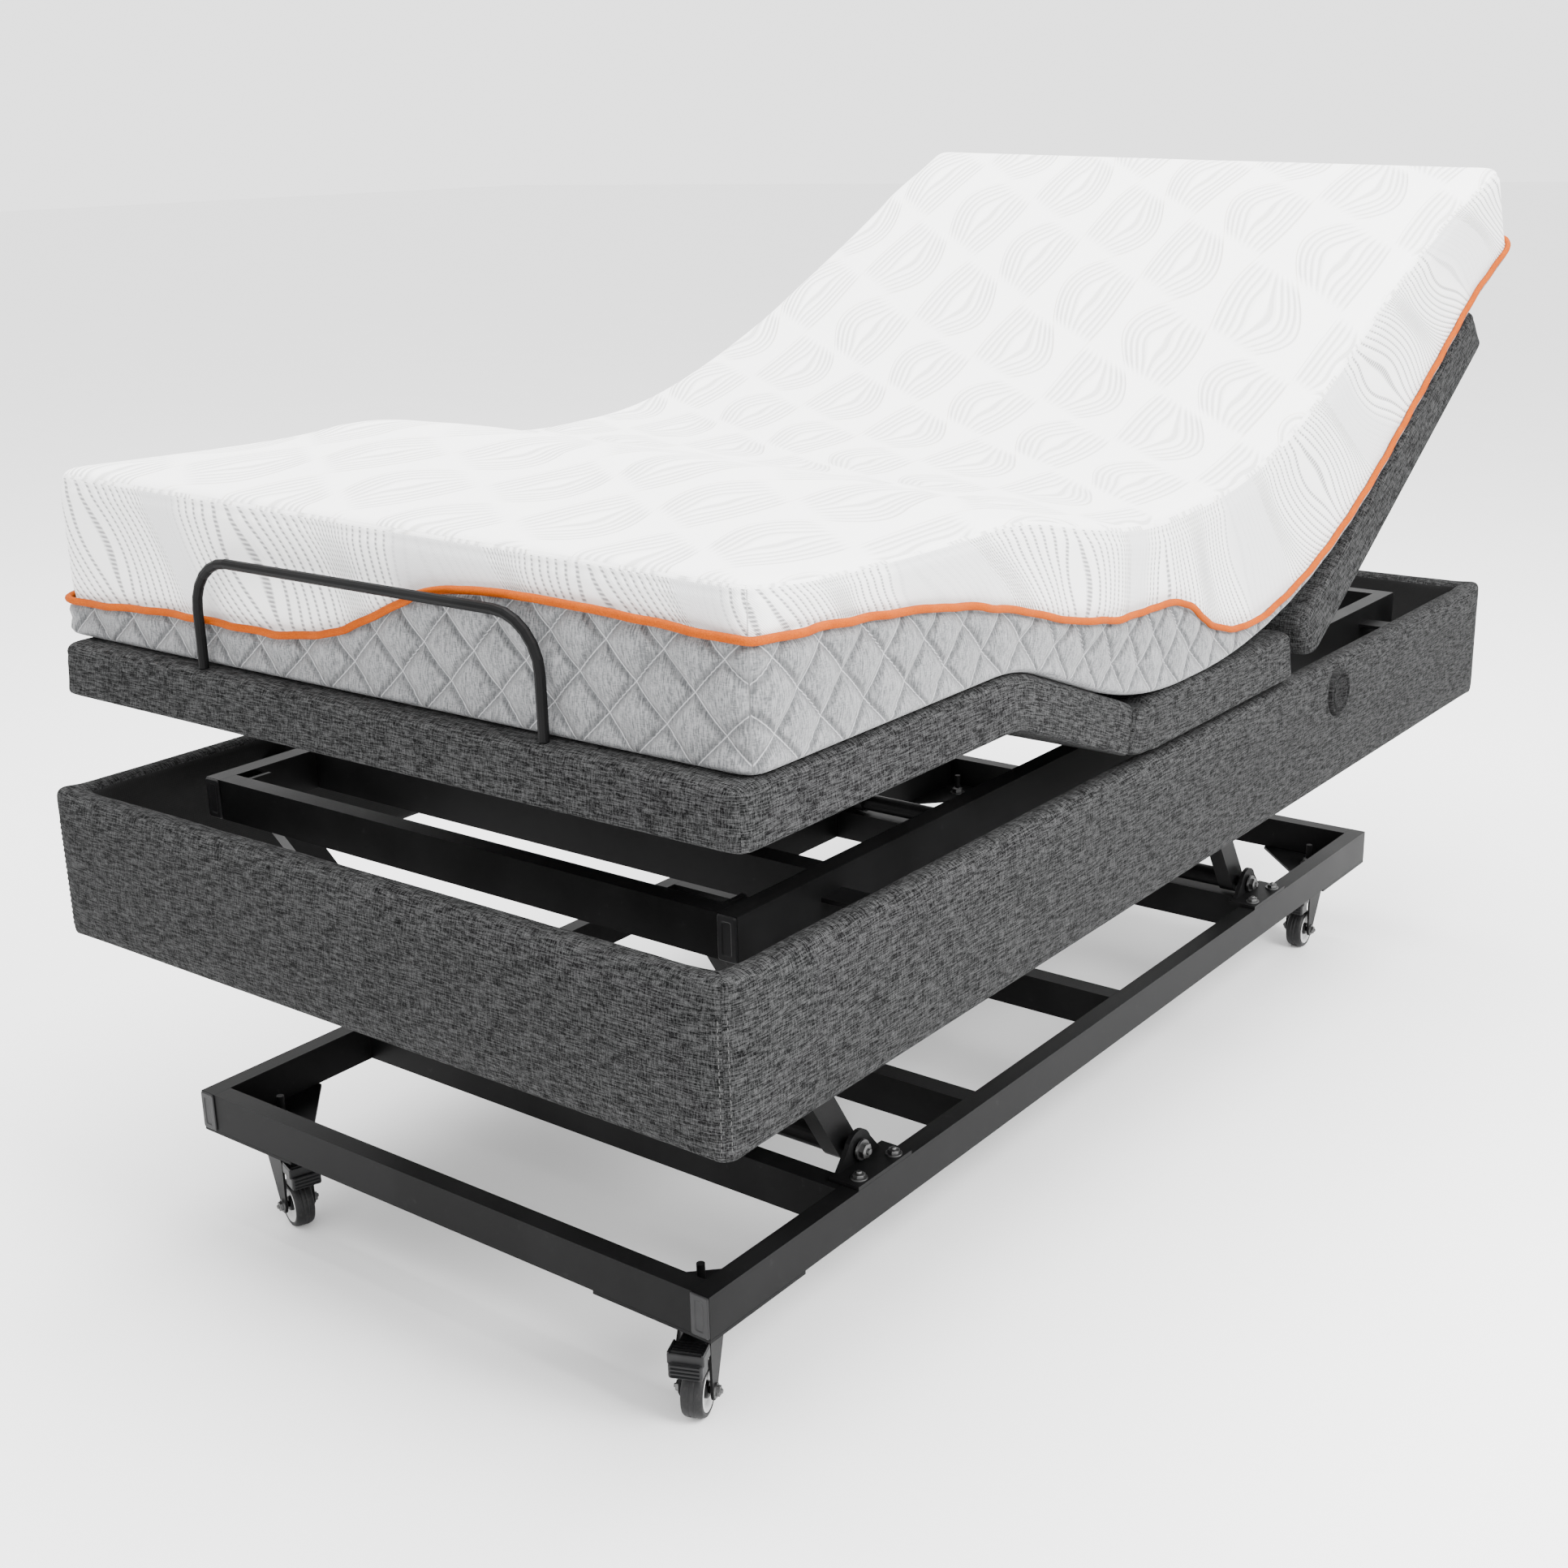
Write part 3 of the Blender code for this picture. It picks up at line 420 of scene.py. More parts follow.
def mattress_border():
    """Border of the mattress: ribbed white knit above the piping, quilted grey mélange below it; painted
    shade in the rib valleys and the quilting hollows.
    """
    net = Net("mattress_border_knit", 0.92, sheen=0.2, specular=0.2)
    u, v, _ = net.split(net.place("UV"))
    above = net.attribute("above_piping")
    grey, tone = melange(net, u, v)
    bend = net.noise(net.vector(u, v, 4.0), 2.2, 1.0)
    slanted = net.add(u, net.add(net.mul(v, 0.55), net.mul(bend, 0.12)))
    warped, _ = leaves(net, slanted, v, BORDER_LEAF_WIDTH, BORDER_LEAF_LENGTH)
    ribs = net.wave(net.mul(warped, 2 * math.pi * BORDER_RIBS))
    dots = net.wave(net.mul(v, 2 * math.pi / 0.0050))
    # painted shade in the valleys between the ribs, broken into dots along the knit's loops
    rib_valley_shade = net.mul(net.step(ribs, 0.34, 0.02), net.add(net.mul(net.step(dots, 0.2, 0.7), 0.6), 0.4))
    plain = net.mul(net.step(net.math("SINE", net.mul(warped, math.pi * 0.66)), 0.55, 0.80), 0.9)
    mesh = net.wave(net.mul(net.add(u, v), 2 * math.pi / 0.0028))
    white = net.mix(net.mul(rib_valley_shade, 0.85), (0.93, 0.93, 0.92), (0.13, 0.13, 0.135))
    quiet = net.mix(mesh, (0.78, 0.785, 0.79), (0.60, 0.605, 0.61))
    white = net.mix(plain, white, quiet)
    crossing = []
    for sign in (1.0, -1.0):
        diagonal = net.mul(net.add(u, net.mul(v, sign)), math.pi / QUILT_PITCH)
        crossing.append(net.math("ABSOLUTE", net.math("SINE", diagonal)))
    nearest = net.math("MINIMUM", crossing[0], crossing[1])
    thread = net.step(nearest, 0.06, 0.0)
    hollow = net.step(nearest, 0.45, 0.05)
    # painted shade: the mélange darkens in the hollows along the quilting lines, the same hollows that sink
    # the bump
    grey = net.mix(net.mul(hollow, 0.45), grey, (0.045, 0.047, 0.05))
    grey = net.mix(net.mul(thread, 0.55), grey, (0.50, 0.50, 0.51))
    upper = net.step(above, -0.0005, 0.0005)
    colour = net.mix(upper, grey, white)
    loops = net.add(net.mul(ribs, net.add(1.0, net.mul(plain, -1.0))), net.mul(mesh, 0.2))
    weave = net.add(net.mul(tone, 0.25), net.mul(hollow, -2.2))
    height = net.add(net.mul(upper, loops), net.mul(net.add(1.0, net.mul(upper, -1.0)), weave))
    return net.finish(colour, height, 0.0022, 0.8)


def mattress_under():
    """Grey non-slip underside with rows of small grip dots."""
    net = Net("mattress_under_fabric", 0.95, sheen=0.1, specular=0.2)
    u, v, _ = net.split(net.place("UV"))
    grey, tone = melange(net, u, v)
    dots = net.mul(net.wave(net.mul(u, 900.0)), net.wave(net.mul(v, 900.0)))
    grey = net.mix(net.step(dots, 0.7, 0.8), grey, (0.2, 0.2, 0.21))
    return net.finish(grey, net.add(tone, dots), 0.0005, 0.5)


def orange_piping():
    """Bright orange woven piping over a cord core."""
    net = Net("orange_piping", 0.8, specular=0.1)
    place = net.place()
    weave = net.noise(place, 900.0, 2.0, 0.6)
    shade = net.noise(place, 40.0, 2.0)
    colour = net.mix(net.step(weave, 0.3, 0.7), (0.26, 0.042, 0.0), (0.40, 0.075, 0.0))
    colour = net.mix(net.mul(net.step(shade, 0.4, 0.7), 0.3), colour, (0.22, 0.032, 0.0))
    return net.finish(colour, weave, 0.0006, 0.7)


# ---- soft bodies in strip coordinates ---------------------------------------------------------------


def spaced(low, high, step, near=()):
    """Lattice lines from low to high, with extra lines at small distances from both ends."""
    margin = near[-1] if near else 0.0
    count = max(1, round((high - low - 2 * margin) / step))
    middle = np.linspace(low + margin, high - margin, count + 1)
    return np.array([low, *(low + d for d in near[:-1]), *middle, *(high - d for d in near[-2::-1]), high])


def lattice_box(xs, ss, ws):
    """Closed lattice on the surface of a box: vertices and quads facing outwards."""
    sizes = (len(xs), len(ss), len(ws))
    index, points, faces = {}, [], []

    def vertex(*key):
        if key not in index:
            index[key] = len(points)
            points.append((xs[key[0]], ss[key[1]], ws[key[2]]))
        return index[key]

    for axis in range(3):
        a, b = (axis + 1) % 3, (axis + 2) % 3
        for side in (0, sizes[axis] - 1):
            for i in range(sizes[a] - 1):
                for j in range(sizes[b] - 1):
                    quad = []
                    for di, dj in ((0, 0), (1, 0), (1, 1), (0, 1)):
                        key = [0, 0, 0]
                        key[axis], key[a], key[b] = side, i + di, j + dj
                        quad.append(vertex(*key))
                    faces.append(quad if side else quad[::-1])
    return np.array(points), faces


def plan_round(points, half, ends, radius):
    """Rounds the vertical corners; returns the points, outward directions and depths in plan."""
    points = points.copy()
    middle = (ends[0] + ends[1]) / 2
    half_length = (ends[1] - ends[0]) / 2
    x, s = points[:, 0], points[:, 1] - middle
    side_x, side_s = np.sign(x), np.sign(s)
    dx = np.maximum(np.abs(x) - (half - radius), 0)
    ds = np.maximum(np.abs(s) - (half_length - radius), 0)
    corner = (dx > 0) & (ds > 0)
    far = np.hypot(dx, ds)
    shrink = np.where(corner, np.maximum(dx, ds) / np.where(far > 0, far, 1), 1)
    points[:, 0] = np.where(corner, side_x * (half - radius + dx * shrink), x)
    points[:, 1] = np.where(corner, side_s * (half_length - radius + ds * shrink), s) + middle
    depth_x, depth_s = half - np.abs(x), half_length - np.abs(s)
    outward = np.zeros((len(points), 2))
    near_x = depth_x <= depth_s
    outward[near_x, 0] = side_x[near_x]
    outward[~near_x, 1] = side_s[~near_x]
    safe = np.where(far > 0, far, 1)
    outward[corner] = np.stack([side_x * dx / safe, side_s * ds / safe], axis=1)[corner]
    depth = np.minimum(depth_x, depth_s)
    depth[corner] = (radius - far * shrink)[corner]
    return points, outward, depth


def edge_round(points, outward, depth, low, high, r_low, r_high):
    """Rounds the top and bottom edges of a body whose plan is already rounded."""
    points = points.copy()
    for radius, rise, sign in ((r_high, high - points[:, 2], 1), (r_low, points[:, 2] - low, -1)):
        a = np.maximum(radius - depth, 0)
        b = np.maximum(radius - rise, 0)
        both = (a > 0) & (b > 0)
        longest = np.hypot(a, b)
        scale = np.where(both, np.maximum(a, b) / np.where(longest > 0, longest, 1), 1)
        inward = a * (1 - scale)
        points[:, :2] -= outward * inward[:, None]
        points[:, 2] -= sign * b * (1 - scale)
    return points


def new_object(name, points, faces, smooth=True):
    mesh = bpy.data.meshes.new(name)
    mesh.from_pydata([tuple(p) for p in points], [], [tuple(f) for f in faces])
    if smooth:
        mesh.shade_smooth()
    obj = bpy.data.objects.new(name, mesh)
    bpy.context.scene.collection.objects.link(obj)
    return obj


def object_of(name, bm, material, body):
    """Finishes a bmesh as a piece with one material, riding on a body."""
    mesh = bpy.data.meshes.new(name)
    bm.to_mesh(mesh)
    bm.free()
    obj = bpy.data.objects.new(name, mesh)
    bpy.context.scene.collection.objects.link(obj)
    add_material(obj, material)
    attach(obj, body)


def read(items, key, width, kind=float):
    """One row of numbers for each item, as foreach_get gives them."""
    values = np.empty(len(items) * width, dtype=kind)
    items.foreach_get(key, values)
    return values.reshape(-1, width)


def coordinates(mesh):
    return read(mesh.vertices, "co", 3)


def set_coordinates(mesh, values):
    mesh.vertices.foreach_set("co", np.ascontiguousarray(values, dtype=np.float32).ravel())
    mesh.update()


def vertex_normals(mesh):
    return read(mesh.vertex_normals, "vector", 3)


def puff(obj, cap, still_below, pressure=4.0, frames=20):
    """Cloth with pressure and no gravity swells the body; its movement is capped and then applied.
    What lies at or below still_below rests on something and stays flat."""
    scene = bpy.context.scene
    rest = coordinates(obj.data)
    cloth = obj.modifiers.new("Cloth", "CLOTH")
    settings = cloth.settings
    settings.use_pressure = True
    settings.uniform_pressure_force = pressure
    settings.effector_weights.gravity = 0
    settings.quality = 4
    settings.mass = 0.3
    cloth.point_cache.frame_start = 1
    cloth.point_cache.frame_end = frames
    for number in range(1, frames + 1):
        scene.frame_set(number)
    graph = bpy.context.evaluated_depsgraph_get()
    swollen = coordinates(obj.evaluated_get(graph).data)
    obj.modifiers.remove(cloth)
    scene.frame_set(1)
    move = swollen - rest
    length = np.linalg.norm(move, axis=1)
    scale = cap * np.tanh(length / cap) / np.where(length > 0, length, 1)
    resting = np.clip((rest[:, 2] - still_below) / 0.02, 0, 1)
    set_coordinates(obj.data, rest + move * (scale * resting)[:, None])


def subdivide(obj, levels):
    modifier = obj.modifiers.new("Subdivision", "SUBSURF")
    modifier.levels = modifier.render_levels = levels
    graph = bpy.context.evaluated_depsgraph_get()
    mesh = bpy.data.meshes.new_from_object(obj.evaluated_get(graph))
    mesh.name = obj.name
    obj.modifiers.clear()
    obj.data = mesh
    mesh.shade_smooth()


def box_uv(mesh, flat, along=None):
    """UVs in metres by the side each face looks to: (x, s) on top, (length round the plan, w) on sides."""
    totals = read(mesh.polygons, "loop_total", 1, int)[:, 0]
    loops = read(mesh.loops, "vertex_index", 1, int)[:, 0]
    normals = np.repeat(np.abs(read(mesh.polygons, "normal", 3)), totals, axis=0)
    place = flat[loops]
    on_top = normals[:, 2] > 0.72
    side = np.where(normals[:, 0] >= normals[:, 1], place[:, 1], place[:, 0])
    if along is not None:
        side = along[loops]
    uv = np.stack([np.where(on_top, place[:, 0], side), np.where(on_top, place[:, 1], place[:, 2])], axis=1)
    layer = mesh.uv_layers.new(name="strip")
    layer.data.foreach_set("uv", uv.astype(np.float32).ravel())


def add_material(obj, *materials):
    obj.data.materials.clear()
    for mat in materials:
        obj.data.materials.append(mat)


def tube_along(path, radius, sides, closed=True, up=None):
    """Points and quads of a round tube along a path; up gives the ring's first direction."""
    path = np.asarray(path, float)
    count = len(path)
    ahead = np.roll(path, -1, axis=0) - np.roll(path, 1, axis=0)
    if not closed:
        ahead[0], ahead[-1] = path[1] - path[0], path[-1] - path[-2]
    ahead /= np.linalg.norm(ahead, axis=1)[:, None]
    first = np.cross(ahead, up if up is not None else (0.0, 0.0, 1.0))
    first /= np.linalg.norm(first, axis=1)[:, None]
    second = np.cross(first, ahead)
    angles = np.arange(sides) * 2 * math.pi / sides
    ring = np.cos(angles)[None, :, None] * first[:, None] + np.sin(angles)[None, :, None] * second[:, None]
    points = (path[:, None] + radius * ring).reshape(-1, 3)
    faces = []
    for i in range(count if closed else count - 1):
        j = (i + 1) % count
        for k in range(sides):
            m = (k + 1) % sides
            faces.append((i * sides + k, i * sides + m, j * sides + m, j * sides + k))
    if not closed:
        faces.append(tuple(range(sides))[::-1])
        faces.append(tuple((count - 1) * sides + k for k in range(sides)))
    return points, faces


# ---- mattress ---------------------------------------------------------------------------------------

MATTRESS_CORNER = 0.028
MATTRESS_SWELL = 0.011  # crown of the cover above the foam block
HEAD_OVERHANG = 0.20  # the head end hangs past the deck, droops, and its top leans outwards
HEAD_DROOP = 0.02
HEAD_LEAN = 0.10
LEFT_OVERHANG = 0.035  # the foot end lies a little past the deck's -X edge
# lift of the top by distance from the foot end, along the +X side and along the -X side
TOP_RIGHT = (
    (0.0, -0.006), (0.10, -0.022), (0.25, -0.028), (0.45, -0.030), (0.55, -0.018), (0.70, 0.012),
    (0.85, 0.026), (1.0, 0.032), (1.3, 0.034), (1.5, 0.034), (1.7, 0.022), (1.9, -0.006), (2.16, -0.055),
)  # fmt: skip
TOP_LEFT = (
    (0.0, 0.010), (0.25, 0.004), (0.40, 0.004), (0.55, 0.026), (0.70, 0.052), (0.85, 0.065),
    (1.0, 0.068), (1.3, 0.068), (1.45, 0.060), (1.6, 0.045), (1.75, 0.026), (1.9, 0.008), (2.16, -0.004),
)  # fmt: skip
TOP_BLUR = 0.05
SEAT_CUT_SHIFT = 0.025  # the cut between seat and head stretch lies this far towards the foot
PIPING_RADIUS = 0.0045
PIPING_BLUR = 0.022
# height of the piping by distance from the foot corner, on the +X side and on the -X side
PIPING_RIGHT = (
    (0.0, 0.131), (0.10, 0.127), (0.19, 0.119), (0.31, 0.105), (0.41, 0.086), (0.48, 0.067),
    (0.55, 0.066), (0.68, 0.088), (0.78, 0.107), (0.87, 0.113), (0.92, 0.099), (0.98, 0.062),
    (1.03, 0.040), (1.12, 0.022), (1.30, 0.017),
)  # fmt: skip
PIPING_LEFT = (
    (0.0, 0.046), (0.25, 0.052), (0.50, 0.092), (0.75, 0.118), (0.95, 0.080), (1.15, 0.030), (1.30, 0.017),
)  # fmt: skip
# and by x across the foot end
PIPING_FOOT = (
    (-0.53, 0.046), (-0.465, 0.044), (-0.34, 0.053), (-0.235, 0.053), (-0.13, 0.051),
    (-0.054, 0.064), (0.0065, 0.090), (0.07, 0.123), (0.135, 0.138), (0.22, 0.142),
    (0.35, 0.140), (0.47, 0.134), (0.53, 0.131),
)  # fmt: skip


def perimeter_place(points, half, ends):
    """Length round the plan: 0 at the +X foot corner, rising up the +X side, falling across the foot."""
    x, s = points[:, 0], points[:, 1] - ends[0]
    length = ends[1] - ends[0]
    a = half
    mid = length / 2
    right = x > 0
    depth_x, depth_foot, depth_head = half - np.abs(x), s, length - s
    on_side = depth_x < np.minimum(depth_foot, depth_head)
    along_side = np.where(right, s, -2 * a - s)
    along_end = np.where(s < mid, x - a, length + a - x)
    return np.where(on_side, along_side, along_end)


def piping_height(along, length):
    """Height of the piping above the underside at places round the plan."""
    a = MATTRESS_HALF_WIDTH
    table = [(-2 * a - s, h) for s, h in reversed(PIPING_LEFT[1:])]
    table += [(x - a, h) for x, h in PIPING_FOOT[:-1]]
    places, heights = np.array([*table, *PIPING_RIGHT]).T
    grid = np.arange(-2 * a - length - 0.5, length + 2 * a + 0.5, 0.004)
    rough = np.interp(grid, places, heights)
    reach = np.arange(-20, 21) * 0.004
    kernel = np.exp(-0.5 * (reach / PIPING_BLUR) ** 2)
    smooth = np.convolve(np.pad(rough, 20, mode="edge"), kernel / kernel.sum(), mode="valid")
    return np.interp(along, grid, smooth)


def quilting(along, height):
    """Puff between diagonal quilt lines, from 0 on a line to 1 in a diamond's middle."""
    a = np.abs(np.sin((along + height) * math.pi / QUILT_PITCH))
    b = np.abs(np.sin((along - height) * math.pi / QUILT_PITCH))
    return (a * b) ** 0.55


def flat_mattress(ends):
    """The whole mattress in strip coordinates, after simulation, with its fine shape."""
    half, high = MATTRESS_HALF_WIDTH, MATTRESS_THICKNESS + MATTRESS_SWELL
    near = (0.009, 0.018, MATTRESS_CORNER)
    xs = spaced(-half, half, 0.021, near)
    ss = spaced(*ends, 0.021, near)
    ws = np.array([0, 0.008, 0.022, 0.040, 0.060, 0.080, 0.100, 0.120, 0.138, 0.156, 0.170, 0.184, high])
    points, faces = lattice_box(xs, ss, ws)
    points, outward, depth = plan_round(points, half, ends, MATTRESS_CORNER)
    points = edge_round(points, outward, depth, 0, high, 0.010, 0.022)
    body = new_object("mattress_flat", points, faces)
    puff(body, 0.009, 0.004)
    subdivide(body, 2)
    mesh = body.data
    flat = coordinates(mesh)
    normals = vertex_normals(mesh)
    along = perimeter_place(flat, half, ends)
    piping = piping_height(along, ends[1] - ends[0])
    above = flat[:, 2] - piping
    sideways = np.clip(1 - np.abs(normals[:, 2]) * 1.6, 0, 1)
    lower = np.clip(-above / 0.012, 0, 1) * np.clip((flat[:, 2] - 0.003) / 0.012, 0, 1)
    lift = QUILT_DEPTH * quilting(along, flat[:, 2]) * lower
    lift -= 0.0022 * np.exp(-0.5 * (above / 0.006) ** 2)
    seam = np.exp(-0.5 * ((flat[:, 2] - (high - 0.016)) / 0.0035) ** 2)
    lift -= 0.0020 * seam
    shaped = flat + normals * (lift * sideways)[:, None]
    return body, shaped, along, above


def smooth_curve(pairs, at, blur):
    """A table of (place, value) read at some places, its corners rounded."""
    step = 0.01
    reach = np.arange(-3 * blur, 3 * blur + step, step)
    kernel = np.exp(-0.5 * (reach / blur) ** 2)
    kernel /= kernel.sum()
    places, values = np.array(pairs).T
    return sum(k * np.interp(at + shift, places, values) for k, shift in zip(kernel, reach))


def drape(flat, above, length):
    """How the foam settles on the raised deck: the top bunches in the bend, the ends thin and droop."""
    x, s, w = flat.T
    across = (x + MATTRESS_HALF_WIDTH) / (2 * MATTRESS_HALF_WIDTH)
    right = smooth_curve(TOP_RIGHT, s, TOP_BLUR)
    left = smooth_curve(TOP_LEFT, s, TOP_BLUR)
    share = np.clip(above / (MATTRESS_THICKNESS + MATTRESS_SWELL - (w - above)), 0, 1)
    near_end = np.clip((s - (length - HEAD_OVERHANG)) / HEAD_OVERHANG, 0, 1)
    near_end = near_end * near_end * (3 - 2 * near_end)
    overhang = np.clip(-x / MATTRESS_HALF_WIDTH, 0, 1) * (1 - np.clip(s / length, 0, 1))
    settled = flat.copy()
    settled[:, 0] -= LEFT_OVERHANG * overhang
    settled[:, 1] += HEAD_LEAN * w * near_end
    settled[:, 2] += (left + (right - left) * across) * share - HEAD_DROOP * near_end
    return settled


def stretches(line):
    """The three lengths of the mattress that each bend over one joint, as (name, from, to)."""
    seat = line.s_of_y((HEAD_AXIS[0] + THIGH_AXIS[0]) / 2 - SEAT_CUT_SHIFT)
    thigh = line.s_of_y((THIGH_AXIS[0] + KNEE_AXIS[0]) / 2)
    return (("foot", -math.inf, thigh), ("middle", thigh, seat), ("head", seat, math.inf))


def make_mattress(line, materials):
    """The cover in three stretches and their piping, laid along the line; both by stretch name."""
    ends = (0.0, line.length)
    body, flat, along, above = flat_mattress(ends)
    set_coordinates(body.data, flat)
    normals_z = read(body.data.polygons, "normal", 3)[:, 2]
    centre_w = flat[face_corners(body.data)].mean(axis=1)[:, 2]
    material_of = np.ones(len(normals_z), dtype=int)
    material_of[(normals_z > 0.5) & (centre_w > MATTRESS_THICKNESS - 0.02)] = 0
    material_of[(normals_z < -0.5) & (centre_w < 0.012)] = 2
    box_uv(body.data, flat, along)
    uv = read(body.data.uv_layers["strip"].data, "uv", 2, np.float32).reshape(-1, 4, 2)
    set_coordinates(body.data, line.place(drape(flat, above, line.length)))
    normals = vertex_normals(body.data)
    bent = coordinates(body.data)
    corners = face_corners(body.data)
    centre_s = flat[corners].mean(axis=1)[:, 1]
    pieces = {}
    for name, low, high in stretches(line):
        keep = (centre_s >= low) & (centre_s < high)
        used, renumbered = np.unique(corners[keep], return_inverse=True)
        piece = new_object("mattress_cover_" + name, bent[used], renumbered.reshape(-1, 4))
        mesh = piece.data
        layer = mesh.uv_layers.new(name="strip")
        layer.data.foreach_set("uv", uv[keep].ravel())
        mesh.attributes.new("above_piping", "FLOAT", "POINT").data.foreach_set(
            "value", above[used].astype(np.float32)
        )
        add_material(piece, *materials)
        mesh.polygons.foreach_set("material_index", material_of[keep])
        mesh.normals_split_custom_set_from_vertices([tuple(n) for n in normals[used]])
        pieces[name] = piece
    trims = make_piping(line, body, flat, ends)
    bpy.data.objects.remove(body, do_unlink=True)
    return pieces, trims


def face_corners(mesh):
    return read(mesh.loops, "vertex_index", 1, int).reshape(-1, 4)


CORNER_STEPS = 8


def plan_loop(half, ends, radius, step=0.008):
    """Points and outward directions round a rounded rectangle, from the +X head corner."""
    corners = ((half, ends[1], 0), (half, ends[0], -90), (-half, ends[0], -180), (-half, ends[1], -270))
    points, outs = [], []
    for x, s, start in corners:
        cx = x - math.copysign(radius, x)
        cs = s - radius if s == ends[1] else s + radius
        first = math.radians(start + 90)
        for k in range(CORNER_STEPS + 1):
            angle = first - k * math.pi / 2 / CORNER_STEPS
            points.append((cx + radius * math.cos(angle), cs + radius * math.sin(angle)))
            outs.append((math.cos(angle), math.sin(angle)))
    filled, out_filled = [], []
    for i in range(len(points)):
        a, b = np.array(points[i]), np.array(points[(i + 1) % len(points)])
        oa, ob = np.array(outs[i]), np.array(outs[(i + 1) % len(points)])
        count = max(1, round(float(np.linalg.norm(b - a)) / step))
        for k in range(count):
            filled.append(a + (b - a) * k / count)
            out_filled.append(unit(oa + (ob - oa) * k / count))
    return np.array(filled), np.array(out_filled)


def make_piping(line, body, flat, ends):
    """The piping cord round the mattress, lying on the border along the line between its two cloths."""
    half = MATTRESS_HALF_WIDTH
    plan, out = plan_loop(half, ends, MATTRESS_CORNER)
    heights = piping_height(perimeter_place(plan, half, ends), line.length)
    set_coordinates(body.data, flat)
    path = []
    for (x, s), (ox, os), h in zip(plan, out, heights):
        _, place, _, _ = body.closest_point_on_mesh(Vector((x + 0.02 * ox, s + 0.02 * os, h)))
        path.append((place.x + 0.0012 * ox, place.y + 0.0012 * os, h))
    path = np.array(path)
    kernel = np.array([1, 2, 3, 2, 1]) / 9
    path = sum(k * np.roll(path, shift, axis=0) for k, shift in zip(kernel, range(-2, 3)))
    sides = 10
    points, faces = tube_along(path, PIPING_RADIUS, sides)
    faces = np.array(faces)
    centre = points[faces].mean(axis=1)[:, 1]
    bent = line.place(drape(points, np.zeros(len(points)), line.length))
    pieces = {}
    for name, low, high in stretches(line):
        keep = (centre >= low) & (centre < high)
        used, renumbered = np.unique(faces[keep], return_inverse=True)
        pieces[name] = new_object("mattress_piping_" + name, bent[used], renumbered.reshape(-1, 4))
    return pieces


def blend_mattress(pieces):
    """Bakes each stretch's placement into its mesh; the spans below, of two bodies and two (y, z) places for
    each stretch, are not used.
    """
    middle_thigh = (THIGH_AXIS + KNEE_AXIS) / 2 + np.array([0.012, 0.035])
    spans = {
        "head": ("lift_frame", "head", HEAD_AXIS + (-0.19, 0.05), HEAD_AXIS + (0.24, 0.15)),
        "middle": ("lift_frame", "thigh", THIGH_AXIS + (0.14, 0.04), middle_thigh + 0.034 * THIGH_RUN),
        "foot": ("thigh", "foot", middle_thigh - 0.022 * THIGH_RUN, KNEE_AXIS + (-0.12, 0.034)),
    }
    for name, (a, b, start, end) in spans.items():
        for piece in pieces[name]:
            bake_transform(piece)


# ---- upholstered deck and surround ------------------------------------------------------------------

DECK_CORNER = 0.022
DECK_EDGE = 0.015


def deck_piece(name, line, s_low, s_high, material, half=None, inset=0.0, cap=0.005):
    """One upholstered board along a line at the deck's middle."""
    half = (half or DECK_HALF_WIDTH) - 0.002
    thick = DECK_HALF_THICKNESS - 0.001 - inset
    near = (0.007, 0.014, DECK_CORNER)
    short = s_high - s_low < 0.08
    xs = spaced(-half, half, 0.024, near)
    ss = spaced(s_low, s_high, 0.01 if short else 0.024, () if short else near)
    ws = spaced(-thick, thick, 0.02, (0.006, 0.013))
    points, faces = lattice_box(xs, ss, ws)
    corner = 0.004 if short else DECK_CORNER
    points, outward, depth = plan_round(points, half, (s_low, s_high), corner)
    points = edge_round(points, outward, depth, -thick, thick, 0.008, 0.006 if short else DECK_EDGE)
    piece = new_object(name, points, faces)
    if not short:
        puff(piece, cap, -thick)
    subdivide(piece, 1)
    mesh = piece.data
    flat = coordinates(mesh)
    normals = vertex_normals(mesh)
    if not short:
        # the welted seam that runs round the top edge
        seam = np.exp(-0.5 * ((flat[:, 2] - (thick - 0.017)) / 0.0028) ** 2)
        sideways = np.clip(1 - np.abs(normals[:, 2]) * 1.5, 0, 1)
        flat = flat - normals * (0.0016 * seam * sideways)[:, None]
    box_uv(mesh, flat)
    set_coordinates(mesh, line.place(flat))
    add_material(piece, material)
    return piece


def make_deck(line, fabric):
    """The padded boards over the legs, the seat and the head, and the creased strip of cloth between seat
    and thigh.
    """
    s_thigh = line.s_of_y(THIGH_AXIS[0])
    s_head = line.s_of_y(HEAD_AXIS[0])
    legs = deck_piece("deck_legs_cover", line, 0.002, s_thigh - SEAM_GAP, fabric)
    crease = deck_piece("deck_crease_cover", line, s_thigh - 0.024, s_thigh + 0.032, fabric, inset=0.003)
    seat = deck_piece("deck_seat_cover", line, s_thigh + 0.020, s_head - HINGE_GAP, fabric)
    head_line = BentLine([HEAD_AXIS, HEAD_AXIS + HEAD_LENGTH * HEAD_RUN], [])
    head = deck_piece("deck_head_cover", head_line, 0.014, HEAD_LENGTH - 0.002, fabric)
    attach(seat, "lift_frame")
    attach(head, "head")
    knee = line.at(np.array([line.s_of_y(KNEE_AXIS[0])]))[0]
    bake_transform(legs)
    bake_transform(crease)
    for piece, nodes in (
        (legs, ("thigh_section", "foot_section")),
        (seat, ("seat_section",)),
        (head, ("head_section",)),
        (crease, ()),
    ):
        if nodes:
            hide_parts(*nodes)


SURROUND_CORNER = 0.018
LINING_SHARE = 0.72  # the lining starts this share of the wall in from outside,
LINING_DROP = 0.012  # and this far below the top


